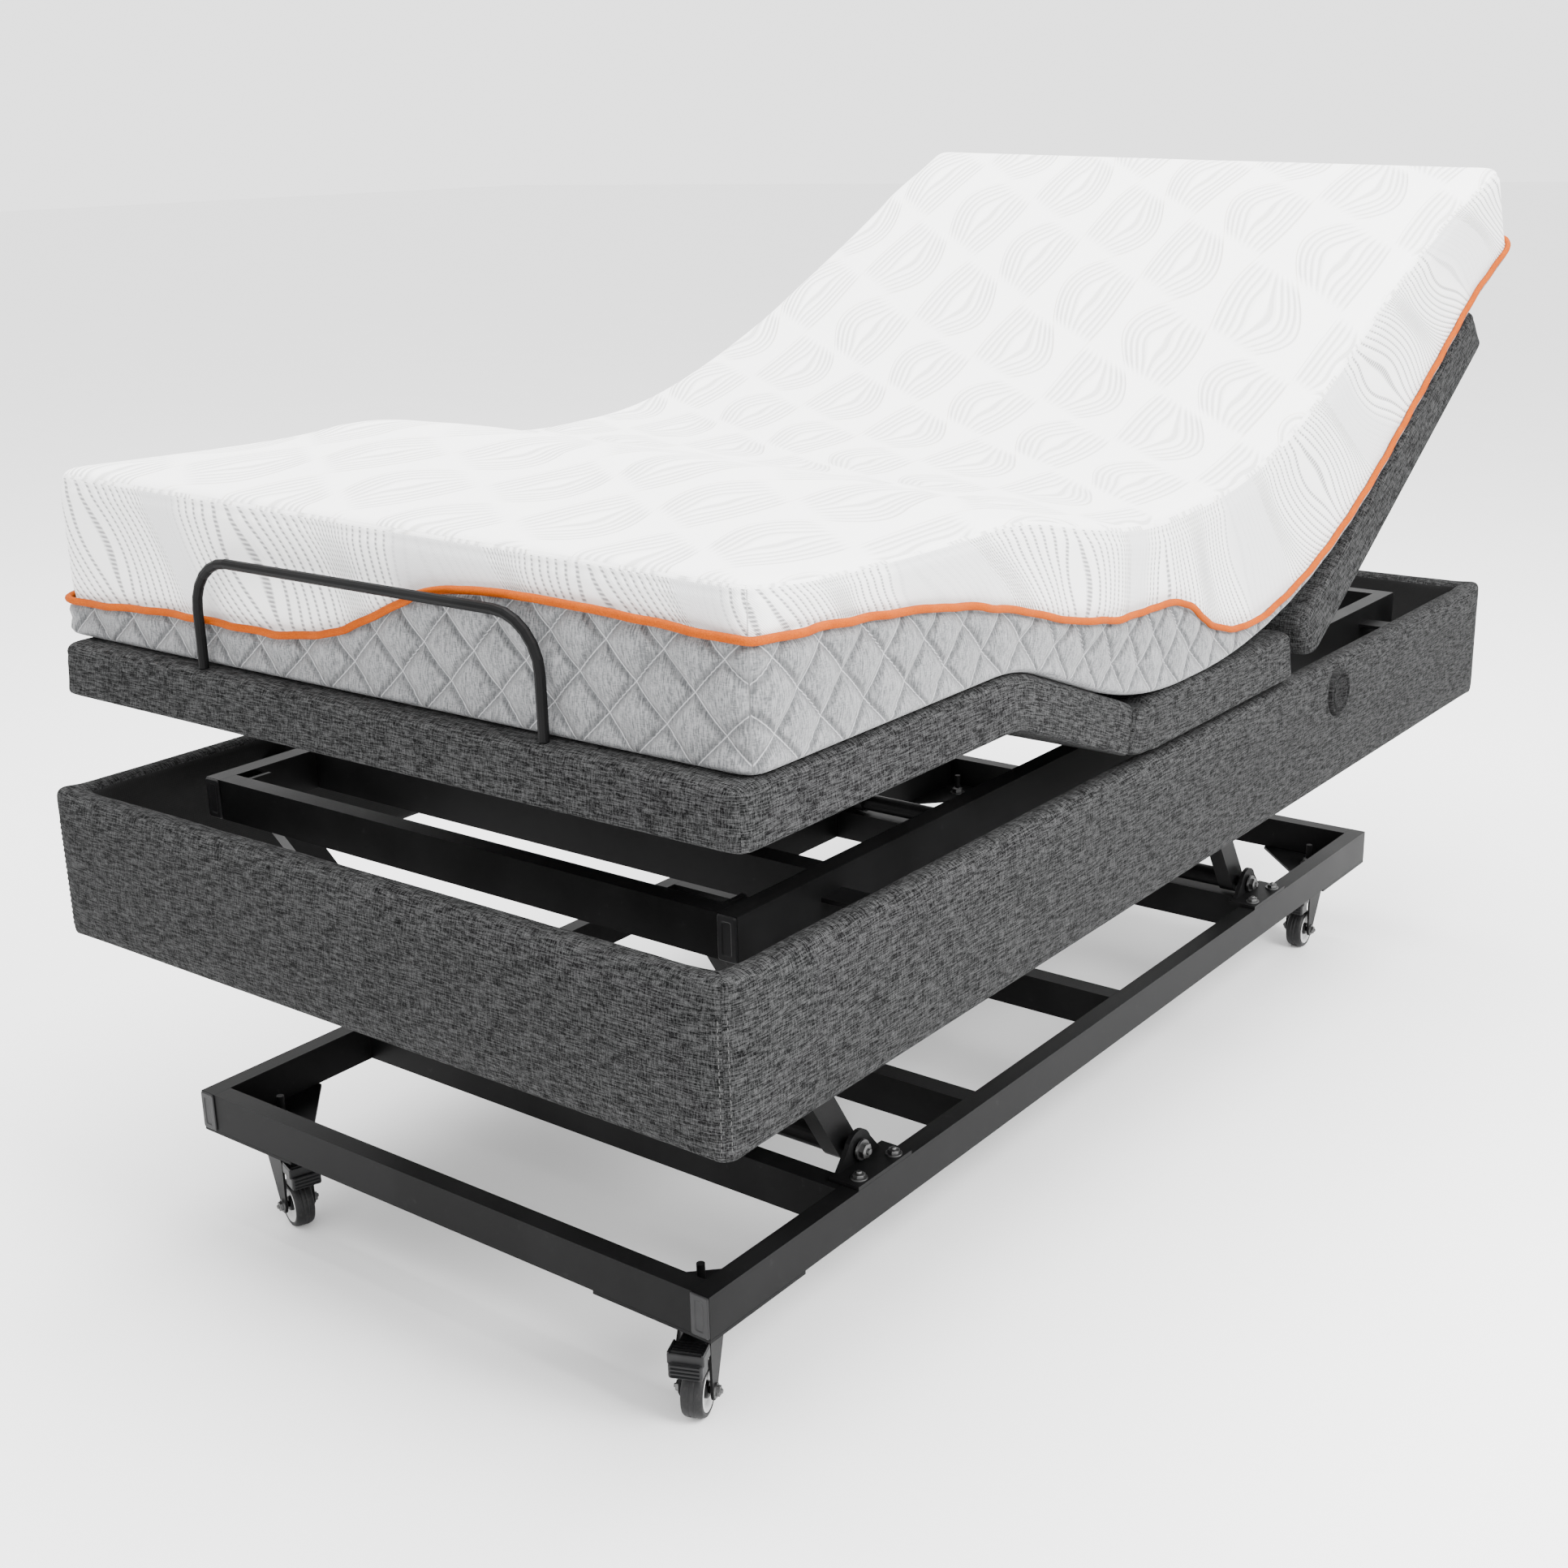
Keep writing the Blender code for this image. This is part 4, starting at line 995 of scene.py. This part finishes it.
def make_surround(fabric, black, thread, cap_cloth):
    """One padded ring of four panels: rounded top and bottom rolls, welted corners, lined inside."""
    right_low, right_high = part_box("surround_panel_right")
    half, end, bottom, top = right_high.x, right_high.y, right_low.z, right_high.z
    foot_end = right_low.y
    wall = right_high.x - right_low.x
    middle = (end + foot_end) / 2
    plan, out = plan_loop(half - 0.002, (foot_end + 0.002, end - 0.002), SURROUND_CORNER, 0.022)
    section = surround_section(wall - 0.002, bottom + 0.001, top - 0.002)
    count, rows = len(plan), len(section)
    points = np.empty((count, rows, 3))
    for j, (inward, z) in enumerate(section):
        points[:, j, :2] = plan - out * inward
        points[:, j, 2] = z
    faces = []
    for i in range(count):
        for j in range(rows):
            m, n = (i + 1) % count, (j + 1) % rows
            faces.append((i * rows + j, i * rows + n, m * rows + n, m * rows + j))
    ring = new_object("surround_cover", points.reshape(-1, 3), faces)
    recalculate(ring)
    puff(ring, 0.004, bottom - 0.02)
    subdivide(ring, 1)
    mesh = ring.data
    place = coordinates(mesh)
    corner_gap = np.minimum(
        np.hypot(np.abs(place[:, 0]) - half, place[:, 1] - end),
        np.hypot(np.abs(place[:, 0]) - half, place[:, 1] - foot_end),
    )
    normals = vertex_normals(mesh)
    level = np.clip(1 - np.abs(normals[:, 2]), 0, 1)
    groove = np.exp(-0.5 * ((corner_gap - 0.0075) / 0.004) ** 2) * level
    outside = np.sign(normals[:, 0] * place[:, 0] + normals[:, 1] * (place[:, 1] - middle)) > 0
    place = place - normals * (0.0022 * groove * outside)[:, None]
    set_coordinates(mesh, place)
    along = perimeter_place(place, half, (foot_end, end))
    box_uv(mesh, place, along)
    add_material(ring, fabric, black)
    centres = read(mesh.polygons, "center", 3)
    depth_ends = np.minimum(end - centres[:, 1], centres[:, 1] - foot_end)
    depth = np.minimum(half - np.abs(centres[:, 0]), depth_ends)
    inside = (depth > wall * LINING_SHARE) & (centres[:, 2] < top - LINING_DROP)
    mesh.polygons.foreach_set("material_index", inside.astype(int))
    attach(ring, "lift_frame")
    sides = ["surround_panel_" + side for side in ("left", "right", "foot", "head")]
    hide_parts(*sides)
    make_disc(half, middle, cap_cloth)
    make_corner_stitches(ring, half, (foot_end, end), (bottom, top), thread)


STITCH_PITCH = 0.0075
STITCH_LENGTH = 0.0046
STITCH_RADIUS = 0.00055
STITCH_ROW = 0.0091  # from the corner's middle to each row
# (place along a stitch, height above the cloth): its ends dip into the cloth
STITCH_ARCH = ((-0.5, -0.0006), (-0.25, 0.0002), (0.25, 0.0002), (0.5, -0.0006))


def make_corner_stitches(ring, half, ends, heights, thread):
    """Two rows of pale top stitching down each vertical corner of the surround."""
    points, faces = [], []
    count = int((heights[1] - heights[0] - 0.05) / STITCH_PITCH)
    for x in (-half, half):
        for y in ends:
            outward = Vector((math.copysign(1, x), math.copysign(1, y), 0)).normalized()
            sideways = Vector((-outward.y, outward.x, 0))
            for offset in (-STITCH_ROW, STITCH_ROW):
                for number in range(count):
                    z = heights[0] + 0.018 + number * STITCH_PITCH
                    start = Vector((x, y, z)) + outward * 0.01 + sideways * offset
                    _, place, normal, _ = ring.closest_point_on_mesh(start)
                    path = []
                    for along, lift in STITCH_ARCH:
                        path.append(place + normal * lift + Vector((0, 0, along * STITCH_LENGTH)))
                    made, quads = tube_along(path, STITCH_RADIUS, 6, closed=False, up=tuple(outward))
                    first = len(points)
                    points += [tuple(p) for p in made]
                    faces += [tuple(first + k for k in quad) for quad in quads]
    stitches = new_object("surround_stitching", points, faces)
    add_material(stitches, thread)
    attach(stitches, "lift_frame")


def sewing_thread():
    """Pale twisted polyester thread."""
    net = Net("pale_thread", 0.8, specular=0.2)
    twist = net.noise(net.place(), 1500.0, 2.0)
    return net.finish(net.mix(twist, (0.045, 0.045, 0.045), (0.085, 0.085, 0.083)), twist, 0.0002, 0.5)


def surround_section(wall, low, high):
    """Closed section of (distance inwards, z): a fuller roll at the top, a small one at the bottom."""
    r_top, r_low = 0.013, 0.007
    quarters = [math.pi / 2 * k / 4 for k in range(5)]
    points = [(0, z) for z in np.linspace(low + r_low, high - r_top, 9)]
    for a in quarters[1:]:
        points.append((r_top - r_top * math.cos(a), high - r_top + r_top * math.sin(a)))
    for a in quarters[:4]:
        points.append((wall - r_top + r_top * math.sin(a), high - r_top + r_top * math.cos(a)))
    points += [(wall, z) for z in np.linspace(high - r_top, low + r_low, 9)]
    for a in quarters[2::2]:
        points.append((wall - r_low + r_low * math.cos(a), low + r_low - r_low * math.sin(a)))
    for a in quarters[:3:2]:
        points.append((r_low - r_low * math.sin(a), low + r_low - r_low * math.cos(a)))
    return points


def recalculate(obj):
    bm = bmesh.new()
    bm.from_mesh(obj.data)
    bmesh.ops.recalc_face_normals(bm, faces=bm.faces)
    bm.to_mesh(obj.data)
    bm.free()


def turned(profile, segments, place, axis):
    """Points and faces of a profile of (radius, height) turned about an axis through a place."""
    turn = Vector(axis).to_track_quat("Z", "Y").to_matrix()
    points, faces = [], []
    for k in range(segments):
        angle = 2 * math.pi * k / segments
        for radius, height in profile:
            offset = turn @ Vector((radius * math.cos(angle), radius * math.sin(angle), height))
            points.append(tuple(Vector(place) + offset))
    rows = len(profile)
    for k in range(segments):
        m = (k + 1) % segments
        for j in range(rows - 1):
            faces.append((k * rows + j, m * rows + j, m * rows + j + 1, k * rows + j + 1))
    return points, faces


def turned_object(name, profile, place, axis, material, segments=48, body=None):
    points, faces = turned(profile, segments, place, axis)
    obj = new_object(name, points, faces)
    bm = bmesh.new()
    bm.from_mesh(obj.data)
    bmesh.ops.remove_doubles(bm, verts=bm.verts, dist=1e-6)
    bmesh.ops.dissolve_degenerate(bm, dist=1e-6, edges=bm.edges)
    bmesh.ops.holes_fill(bm, edges=bm.edges, sides=0)
    bmesh.ops.recalc_face_normals(bm, faces=bm.faces)
    bm.to_mesh(obj.data)
    bm.free()
    obj.data.set_sharp_from_angle(angle=math.radians(38))
    add_material(obj, material)
    if body:
        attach(obj, body)
    return obj


DISC_FROM_MIDDLE = 0.405
DISC_HEIGHT = 0.563


def make_disc(half, middle, fabric):
    """Plain cloth-covered cap on the +X side: a shallow raised ring round a dished middle."""
    profile = [(0.0, 0.0036), (0.014, 0.0042), (0.018, 0.0070), (0.023, 0.0078), (0.026, 0.0046)]
    profile += [(0.029, 0.0082), (0.033, 0.0076), (0.0352, 0.0034), (0.0355, -0.003), (0.0, -0.003)]
    place = (half - 0.0005, middle + DISC_FROM_MIDDLE, DISC_HEIGHT)
    disc = turned_object("surround_cap", profile, place, (1, 0, 0), fabric, 56, "lift_frame")
    layer = disc.data.uv_layers.new(name="strip")
    for loop, data in zip(disc.data.loops, layer.data):
        co = disc.data.vertices[loop.vertex_index].co
        data.uv = (co.y, co.z)


# ---- casters ----------------------------------------------------------------------------------------

CORNERS = ("foot_left", "foot_right", "head_left", "head_right")
FORK_HALF_WIDTH = 0.0204


def wheel_profiles():
    """Half-profiles of (radius, distance along the axle) for tyre, rim and hub cap, from one side."""
    tyre = [(0.0252, 0.0118), (0.0265, 0.0128), (0.0285, 0.0130), (0.0303, 0.0122), (0.0315, 0.0104)]
    tyre += [(0.0322, 0.0076), (0.0324, 0.0042), (0.0318, 0.0034), (0.0318, 0.0024), (0.0324, 0.0016)]
    rim = [(0.0090, 0.0085), (0.0105, 0.0082), (0.0190, 0.0080), (0.0205, 0.0095), (0.0218, 0.0120)]
    rim += [(0.0236, 0.0130), (0.0250, 0.0126), (0.0254, 0.0110)]
    hub = [(0.0046, 0.0130), (0.0085, 0.0130), (0.0098, 0.0118), (0.0102, 0.0080)]
    return tyre, rim, hub


def make_wheel(corner, rubber, white, plastic, steel):
    """Tyre, pale rim, hub cap and the bolt heads of the axle on one caster."""
    joint = JOINTS["caster_%s_roll" % corner]
    place, axis, body = joint["pos_m"], joint["axis"], joint["child"]
    finishes = (
        ("tyre", rubber, 72, "caster_wheel"),
        ("rim", white, 64, "caster_wheel"),
        ("hub", plastic, 40, "black_plastic"),
    )
    for (part, material, segments, slot), profile in zip(finishes, wheel_profiles()):
        closed = profile + [(r, -h) for r, h in reversed(profile)] + profile[:1]
        name = "caster_%s_%s" % (part, corner)
        piece = turned_object(name, closed, place, axis, material, segments, body)
        if part == "tyre":
            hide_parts("caster_wheel_" + corner)
    for sign in (-1, 1):
        side = Vector(axis) * sign
        at = Vector(place) + side * FORK_HALF_WIDTH
        name = "caster_axle_bolt_%s_%s" % (corner, "ab"[sign > 0])
        bolt(name, at, side, 0.0058, steel, joint["parent"], height=0.0044)


def make_pedal_grip(corner, plastic):
    """Raised ribs and a framed tread on the brake pedal."""
    brake = JOINTS["caster_%s_brake" % corner]
    swivel = Vector(JOINTS["caster_%s_swivel" % corner]["pos_m"])
    pivot, axle = Vector(brake["pos_m"]), Vector(brake["axis"])
    trail = Vector((pivot.x - swivel.x, pivot.y - swivel.y, 0)).normalized()
    up = Vector((0, 0, 1))
    bm = bmesh.new()
    turn = Matrix((trail, axle, trail.cross(axle))).transposed().to_4x4()

    def block(along, height, size):
        matrix = Matrix.Translation(pivot + trail * along + up * height) @ turn
        made = bmesh.ops.create_cube(bm, size=1.0, matrix=matrix @ Matrix.Diagonal((*size, 1)))
        # each edge once, in the order in which they are met
        edges = dict.fromkeys(edge for vert in made["verts"] for edge in vert.link_edges)
        bmesh.ops.bevel(bm, geom=list(edges), offset=0.0007, segments=2, affect="EDGES")

    for k in range(5):
        block(0.0165 + 0.0048 * k, 0.0086, (0.0022, 0.036, 0.0022))
    for k in range(4):
        block(0.0437, -0.0045 - 0.0048 * k, (0.0020, 0.034, 0.0022))
    for side in (-1, 1):
        centre = pivot + trail * 0.027 + up * 0.0084 + axle * (side * 0.0196)
        matrix = Matrix.Translation(centre) @ turn @ Matrix.Diagonal((0.025, 0.0022, 0.0024, 1))
        bmesh.ops.create_cube(bm, size=1.0, matrix=matrix)
    object_of("caster_pedal_grip_" + corner, bm, plastic, brake["child"])


# ---- fastenings and fittings ------------------------------------------------------------------------


def bolt(name, place, axis, radius, material, body, washer=0.0016, height=0.005):
    """Washer and domed hexagon head standing out along an axis, with a short thread end above it."""
    axis = Vector(axis).normalized()
    turn = axis.to_track_quat("Z", "Y").to_matrix().to_4x4()
    bm = bmesh.new()

    def ring(segments, r1, r2, low, high, spin=0.0):
        middle = Matrix.Translation(Vector(place)) @ turn @ Matrix.Translation((0, 0, (low + high) / 2))
        matrix = middle @ Matrix.Rotation(spin, 4, "Z")
        bmesh.ops.create_cone(
            bm, cap_ends=True, segments=segments, radius1=r1, radius2=r2, depth=high - low, matrix=matrix
        )

    ring(28, radius * 1.55, radius * 1.5, -0.0006, washer)
    ring(6, radius * 1.12, radius * 1.12, washer, washer + height * 0.85, 0.3)
    ring(24, radius * 0.98, radius * 0.62, washer + height * 0.85, washer + height)
    ring(16, radius * 0.5, radius * 0.42, washer + height, washer + height + radius * 0.35)
    object_of(name, bm, material, body)


def make_fastenings(zinc):
    """Bolts of the arm brackets, nuts on the pivot pins and on the caster studs."""
    for end in ("front", "rear"):
        for side, sign in (("left", -1), ("right", 1)):
            low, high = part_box("%s_arm_bracket_%s" % (end, side))
            y = (low.y + high.y) / 2
            outer = high.x if sign > 0 else low.x
            for number, offset in enumerate((-0.036, 0.036), 1):
                place = (outer - sign * 0.013, y + offset, low.z + 0.005)
                bolt("bracket_bolt_%s_%s_%d" % (end, side, number), place, (0, 0, 1), 0.0068, zinc, "base")
    arms = {"front": "front_arms", "rear": "rear_arms"}
    pivots = {
        ("front", "low"): JOINTS["lift"]["pos_m"],
        ("rear", "low"): JOINTS["rear_arms_pivot"]["pos_m"],
        ("front", "high"): JOINTS["lift_frame_pivot"]["pos_m"],
    }
    shift = Vector(pivots[("front", "high")]) - Vector(pivots[("front", "low")])
    pivots[("rear", "high")] = Vector(pivots[("rear", "low")]) + shift
    for (end, level), place in pivots.items():
        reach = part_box(end + "_lift_arms")[1].x
        for side, sign in (("left", -1), ("right", 1)):
            at = (sign * reach, place[1], place[2])
            name = "pivot_nut_%s_%s_%s" % (end, level, side)
            bolt(name, at, (sign, 0, 0), 0.0085, zinc, arms[end], 0.002, 0.007)
    for corner in CORNERS:
        joint = JOINTS["caster_%s_swivel" % corner]
        gusset_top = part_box("corner_gusset_" + corner)[1].z
        place = (joint["pos_m"][0], joint["pos_m"][1], gusset_top)
        bolt("stud_nut_" + corner, place, (0, 0, 1), 0.0092, zinc, joint["child"], 0.002, 0.009)


TUBE_CAP_CORNER = 0.0025
# (how far inside the tube's edge, how far out of its end), from the plug inside to the dished middle
TUBE_CAP_PROFILE = (
    (0.0035, -0.012), (0.0032, -0.0001), (0, 0.0002), (0, 0.0014),
    (0.0012, 0.0024), (0.006, 0.0024), (0.0075, 0.0016),
)  # fmt: skip
UPPER_RAIL_X = 0.417
UPPER_RAIL_HALF_WIDTH = 0.013
UPPER_RAIL_HEIGHT = 0.052


def tube_cap(name, low, high, y, sign, material, body):
    """Plastic insert closing the end of a rectangular tube: a thin flange with a dished middle."""
    bm = bmesh.new()
    centre_x, centre_z = (low.x + high.x) / 2, (low.z + high.z) / 2
    half_x, half_z = (high.x - low.x) / 2 - 0.0004, (high.z - low.z) / 2 - 0.0004
    rings = []
    for shrink, out in TUBE_CAP_PROFILE:
        loop = []
        for cx, cz, start in ((1, 1, 0), (-1, 1, 90), (-1, -1, 180), (1, -1, 270)):
            for k in range(4):
                angle = math.radians(start + 30 * k)
                x = cx * (half_x - shrink - TUBE_CAP_CORNER) + TUBE_CAP_CORNER * math.cos(angle)
                z = cz * (half_z - shrink - TUBE_CAP_CORNER) + TUBE_CAP_CORNER * math.sin(angle)
                loop.append(bm.verts.new((centre_x + x, y + sign * out, centre_z + z)))
        rings.append(loop)
    for one, two in zip(rings, rings[1:]):
        for k in range(16):
            bm.faces.new((one[k], one[(k + 1) % 16], two[(k + 1) % 16], two[k]))
    bm.faces.new(rings[0])
    bm.faces.new(rings[-1])
    bmesh.ops.recalc_face_normals(bm, faces=bm.faces)
    object_of(name, bm, material, body)


def make_tube_caps(plastic):
    """Plugs in the ends of the side rails of both frames."""
    for frame_name, body in (("base", "base"), ("upper", "lift_frame")):
        for side in ("left", "right"):
            low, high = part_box("%s_rail_%s" % (frame_name, side))
            if frame_name == "upper":
                # the rail's box also holds its lugs and tabs: only the tube itself is capped
                centre = math.copysign(UPPER_RAIL_X, high.x)
                low, high = low.copy(), high.copy()
                low.x = centre - UPPER_RAIL_HALF_WIDTH
                high.x = centre + UPPER_RAIL_HALF_WIDTH
                low.z = high.z - UPPER_RAIL_HEIGHT
            for end, y, sign in (("foot", low.y, -1), ("head", high.y, 1)):
                name = "tube_cap_%s_%s_%s" % (frame_name, side, end)
                tube_cap(name, low, high, y, sign, plastic, body)


# ---- stage ------------------------------------------------------------------------------------------

CAMERA_PLACE = (1.645, -2.3625, 1.371)
CAMERA_AZIMUTH = 37.6767
CAMERA_ELEVATION = 17.9823
CAMERA_ROLL = -1.3738
CAMERA_LENS = 46.45
CAMERA_SENSOR = 36.0
FLOOR_HALF_SIZE = 40.0
WORLD_STRENGTH = 2.5


def make_camera():
    azimuth, elevation, roll = (math.radians(a) for a in (CAMERA_AZIMUTH, CAMERA_ELEVATION, CAMERA_ROLL))
    level = Vector((math.sin(azimuth), -math.cos(azimuth), 0)) * math.cos(elevation)
    back = level + Vector((0, 0, math.sin(elevation)))
    right = Vector((0, 0, 1)).cross(back).normalized()
    up = back.cross(right)
    turned_right = right * math.cos(roll) + up * math.sin(roll)
    turned_up = up * math.cos(roll) - right * math.sin(roll)
    data = bpy.data.cameras.new("camera")
    data.lens = CAMERA_LENS
    data.sensor_width = CAMERA_SENSOR
    camera = bpy.data.objects.new("camera", data)
    matrix = Matrix((turned_right, turned_up, back)).transposed().to_4x4()
    matrix.translation = CAMERA_PLACE
    camera.matrix_world = matrix
    bpy.context.scene.collection.objects.link(camera)
    bpy.context.scene.camera = camera


def area_light(name, place, target, size, power):
    """A square area light that looks from its place at a target."""
    data = bpy.data.lights.new(name, "AREA")
    data.shape = "RECTANGLE"
    data.size = data.size_y = size
    data.energy = power
    lamp = bpy.data.objects.new(name, data)
    lamp.location = place
    lamp.rotation_euler = (Vector(place) - Vector(target)).to_track_quat("Z", "Y").to_euler()
    bpy.context.scene.collection.objects.link(lamp)


def make_stage():
    """Pale floor, white surroundings and two soft lights."""
    net = Net("studio_floor", 0.9, specular=0.1)
    cloud = net.noise(net.place(), 3.0, 3.0)
    net.finish(net.mix(cloud, (0.90, 0.90, 0.90), (0.93, 0.93, 0.93)))
    points = [(x * FLOOR_HALF_SIZE, y * FLOOR_HALF_SIZE, 0) for x, y in ((-1, -1), (1, -1), (1, 1), (-1, 1))]
    floor = new_object("studio_floor", points, [(0, 1, 2, 3)], smooth=False)
    add_material(floor, net.mat)
    world = bpy.data.worlds.new("studio")
    world.use_nodes = True
    background = world.node_tree.nodes["Background"]
    background.inputs["Color"].default_value = (1.0, 1.0, 1.0, 1.0)
    background.inputs["Strength"].default_value = WORLD_STRENGTH
    bpy.context.scene.world = world
    aim = (0, 0, 0.7)
    area_light("key", (3.6, -0.6, 3.4), aim, 2.0, 340)
    area_light("overhead", (0, 0.2, 4.5), aim, 4.0, 560)


# ---- the whole scene --------------------------------------------------------------------------------


def dress_cad_nodes(materials):
    """The CAD nodes that stay visible get the finish of their material slot."""
    for node in frame["nodes"].values():
        slot = node.data.materials[0].name.split(".")[0]
        node.data.materials[0] = materials[slot]


def main():
    make_camera()
    make_stage()
    steel = powder_coat("black_powder_coat", (0.003, 0.003, 0.0031), (0.006, 0.006, 0.0062), 0.42)
    plastic = moulded_plastic("black_moulded_plastic", (0.005, 0.005, 0.0055), 0.42)
    rod = bright_steel("drawn_steel", (0.46, 0.46, 0.47), 0.35)
    zinc = bright_steel("dark_zinc_plate", (0.12, 0.12, 0.12), 0.4)
    rubber = tyre_rubber()
    white = moulded_plastic("white_rim_plastic", (0.42, 0.42, 0.42), 0.4)
    fabric = linen("charcoal_linen", (0.0016, 0.0017, 0.0018), (0.078, 0.0785, 0.079))
    lined = lining()
    top_knit = mattress_top()
    dress_cad_nodes(
        {
            "black_steel": steel,
            "rod_steel": rod,
            "caster_wheel": rubber,
            "black_plastic": plastic,
            "grey_upholstery": fabric,
            "mattress_knit": top_knit,
        }
    )
    cap_cloth = linen("charcoal_linen_cap", (0.0012, 0.0013, 0.0014), (0.040, 0.0402, 0.0405))
    make_surround(fabric, lined, sewing_thread(), cap_cloth)
    deck_bends = [(0.03, 0.03), (0.012, 0.012), (0.001, 0.001)]
    make_deck(deck_line(0.0, FOOT_END_Y, 0.1, deck_bends), fabric)
    bends = [(KNEE_BEND, KNEE_BEND), (VALLEY_BEND, VALLEY_BEND), (HIP_BEND_SEAT, HIP_BEND_HEAD)]
    line = deck_line(DECK_HALF_THICKNESS + 0.0006, MATTRESS_FOOT_Y, MATTRESS_HEAD_REACH, bends)
    covers, trims = make_mattress(line, (top_knit, mattress_border(), mattress_under()))
    orange = orange_piping()
    for trim in trims.values():
        add_material(trim, orange)
    blend_mattress({name: (covers[name], trims[name]) for name in covers})
    replaced = {
        "foot": ("mattress_foot",),
        "middle": ("mattress_thigh", "mattress_seat"),
        "head": ("mattress_head",),
    }
    for name, piece in covers.items():
        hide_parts(*replaced[name])
    for corner in CORNERS:
        make_wheel(corner, rubber, white, plastic, zinc)
        make_pedal_grip(corner, plastic)
    make_fastenings(zinc)
    make_tube_caps(plastic)


main()
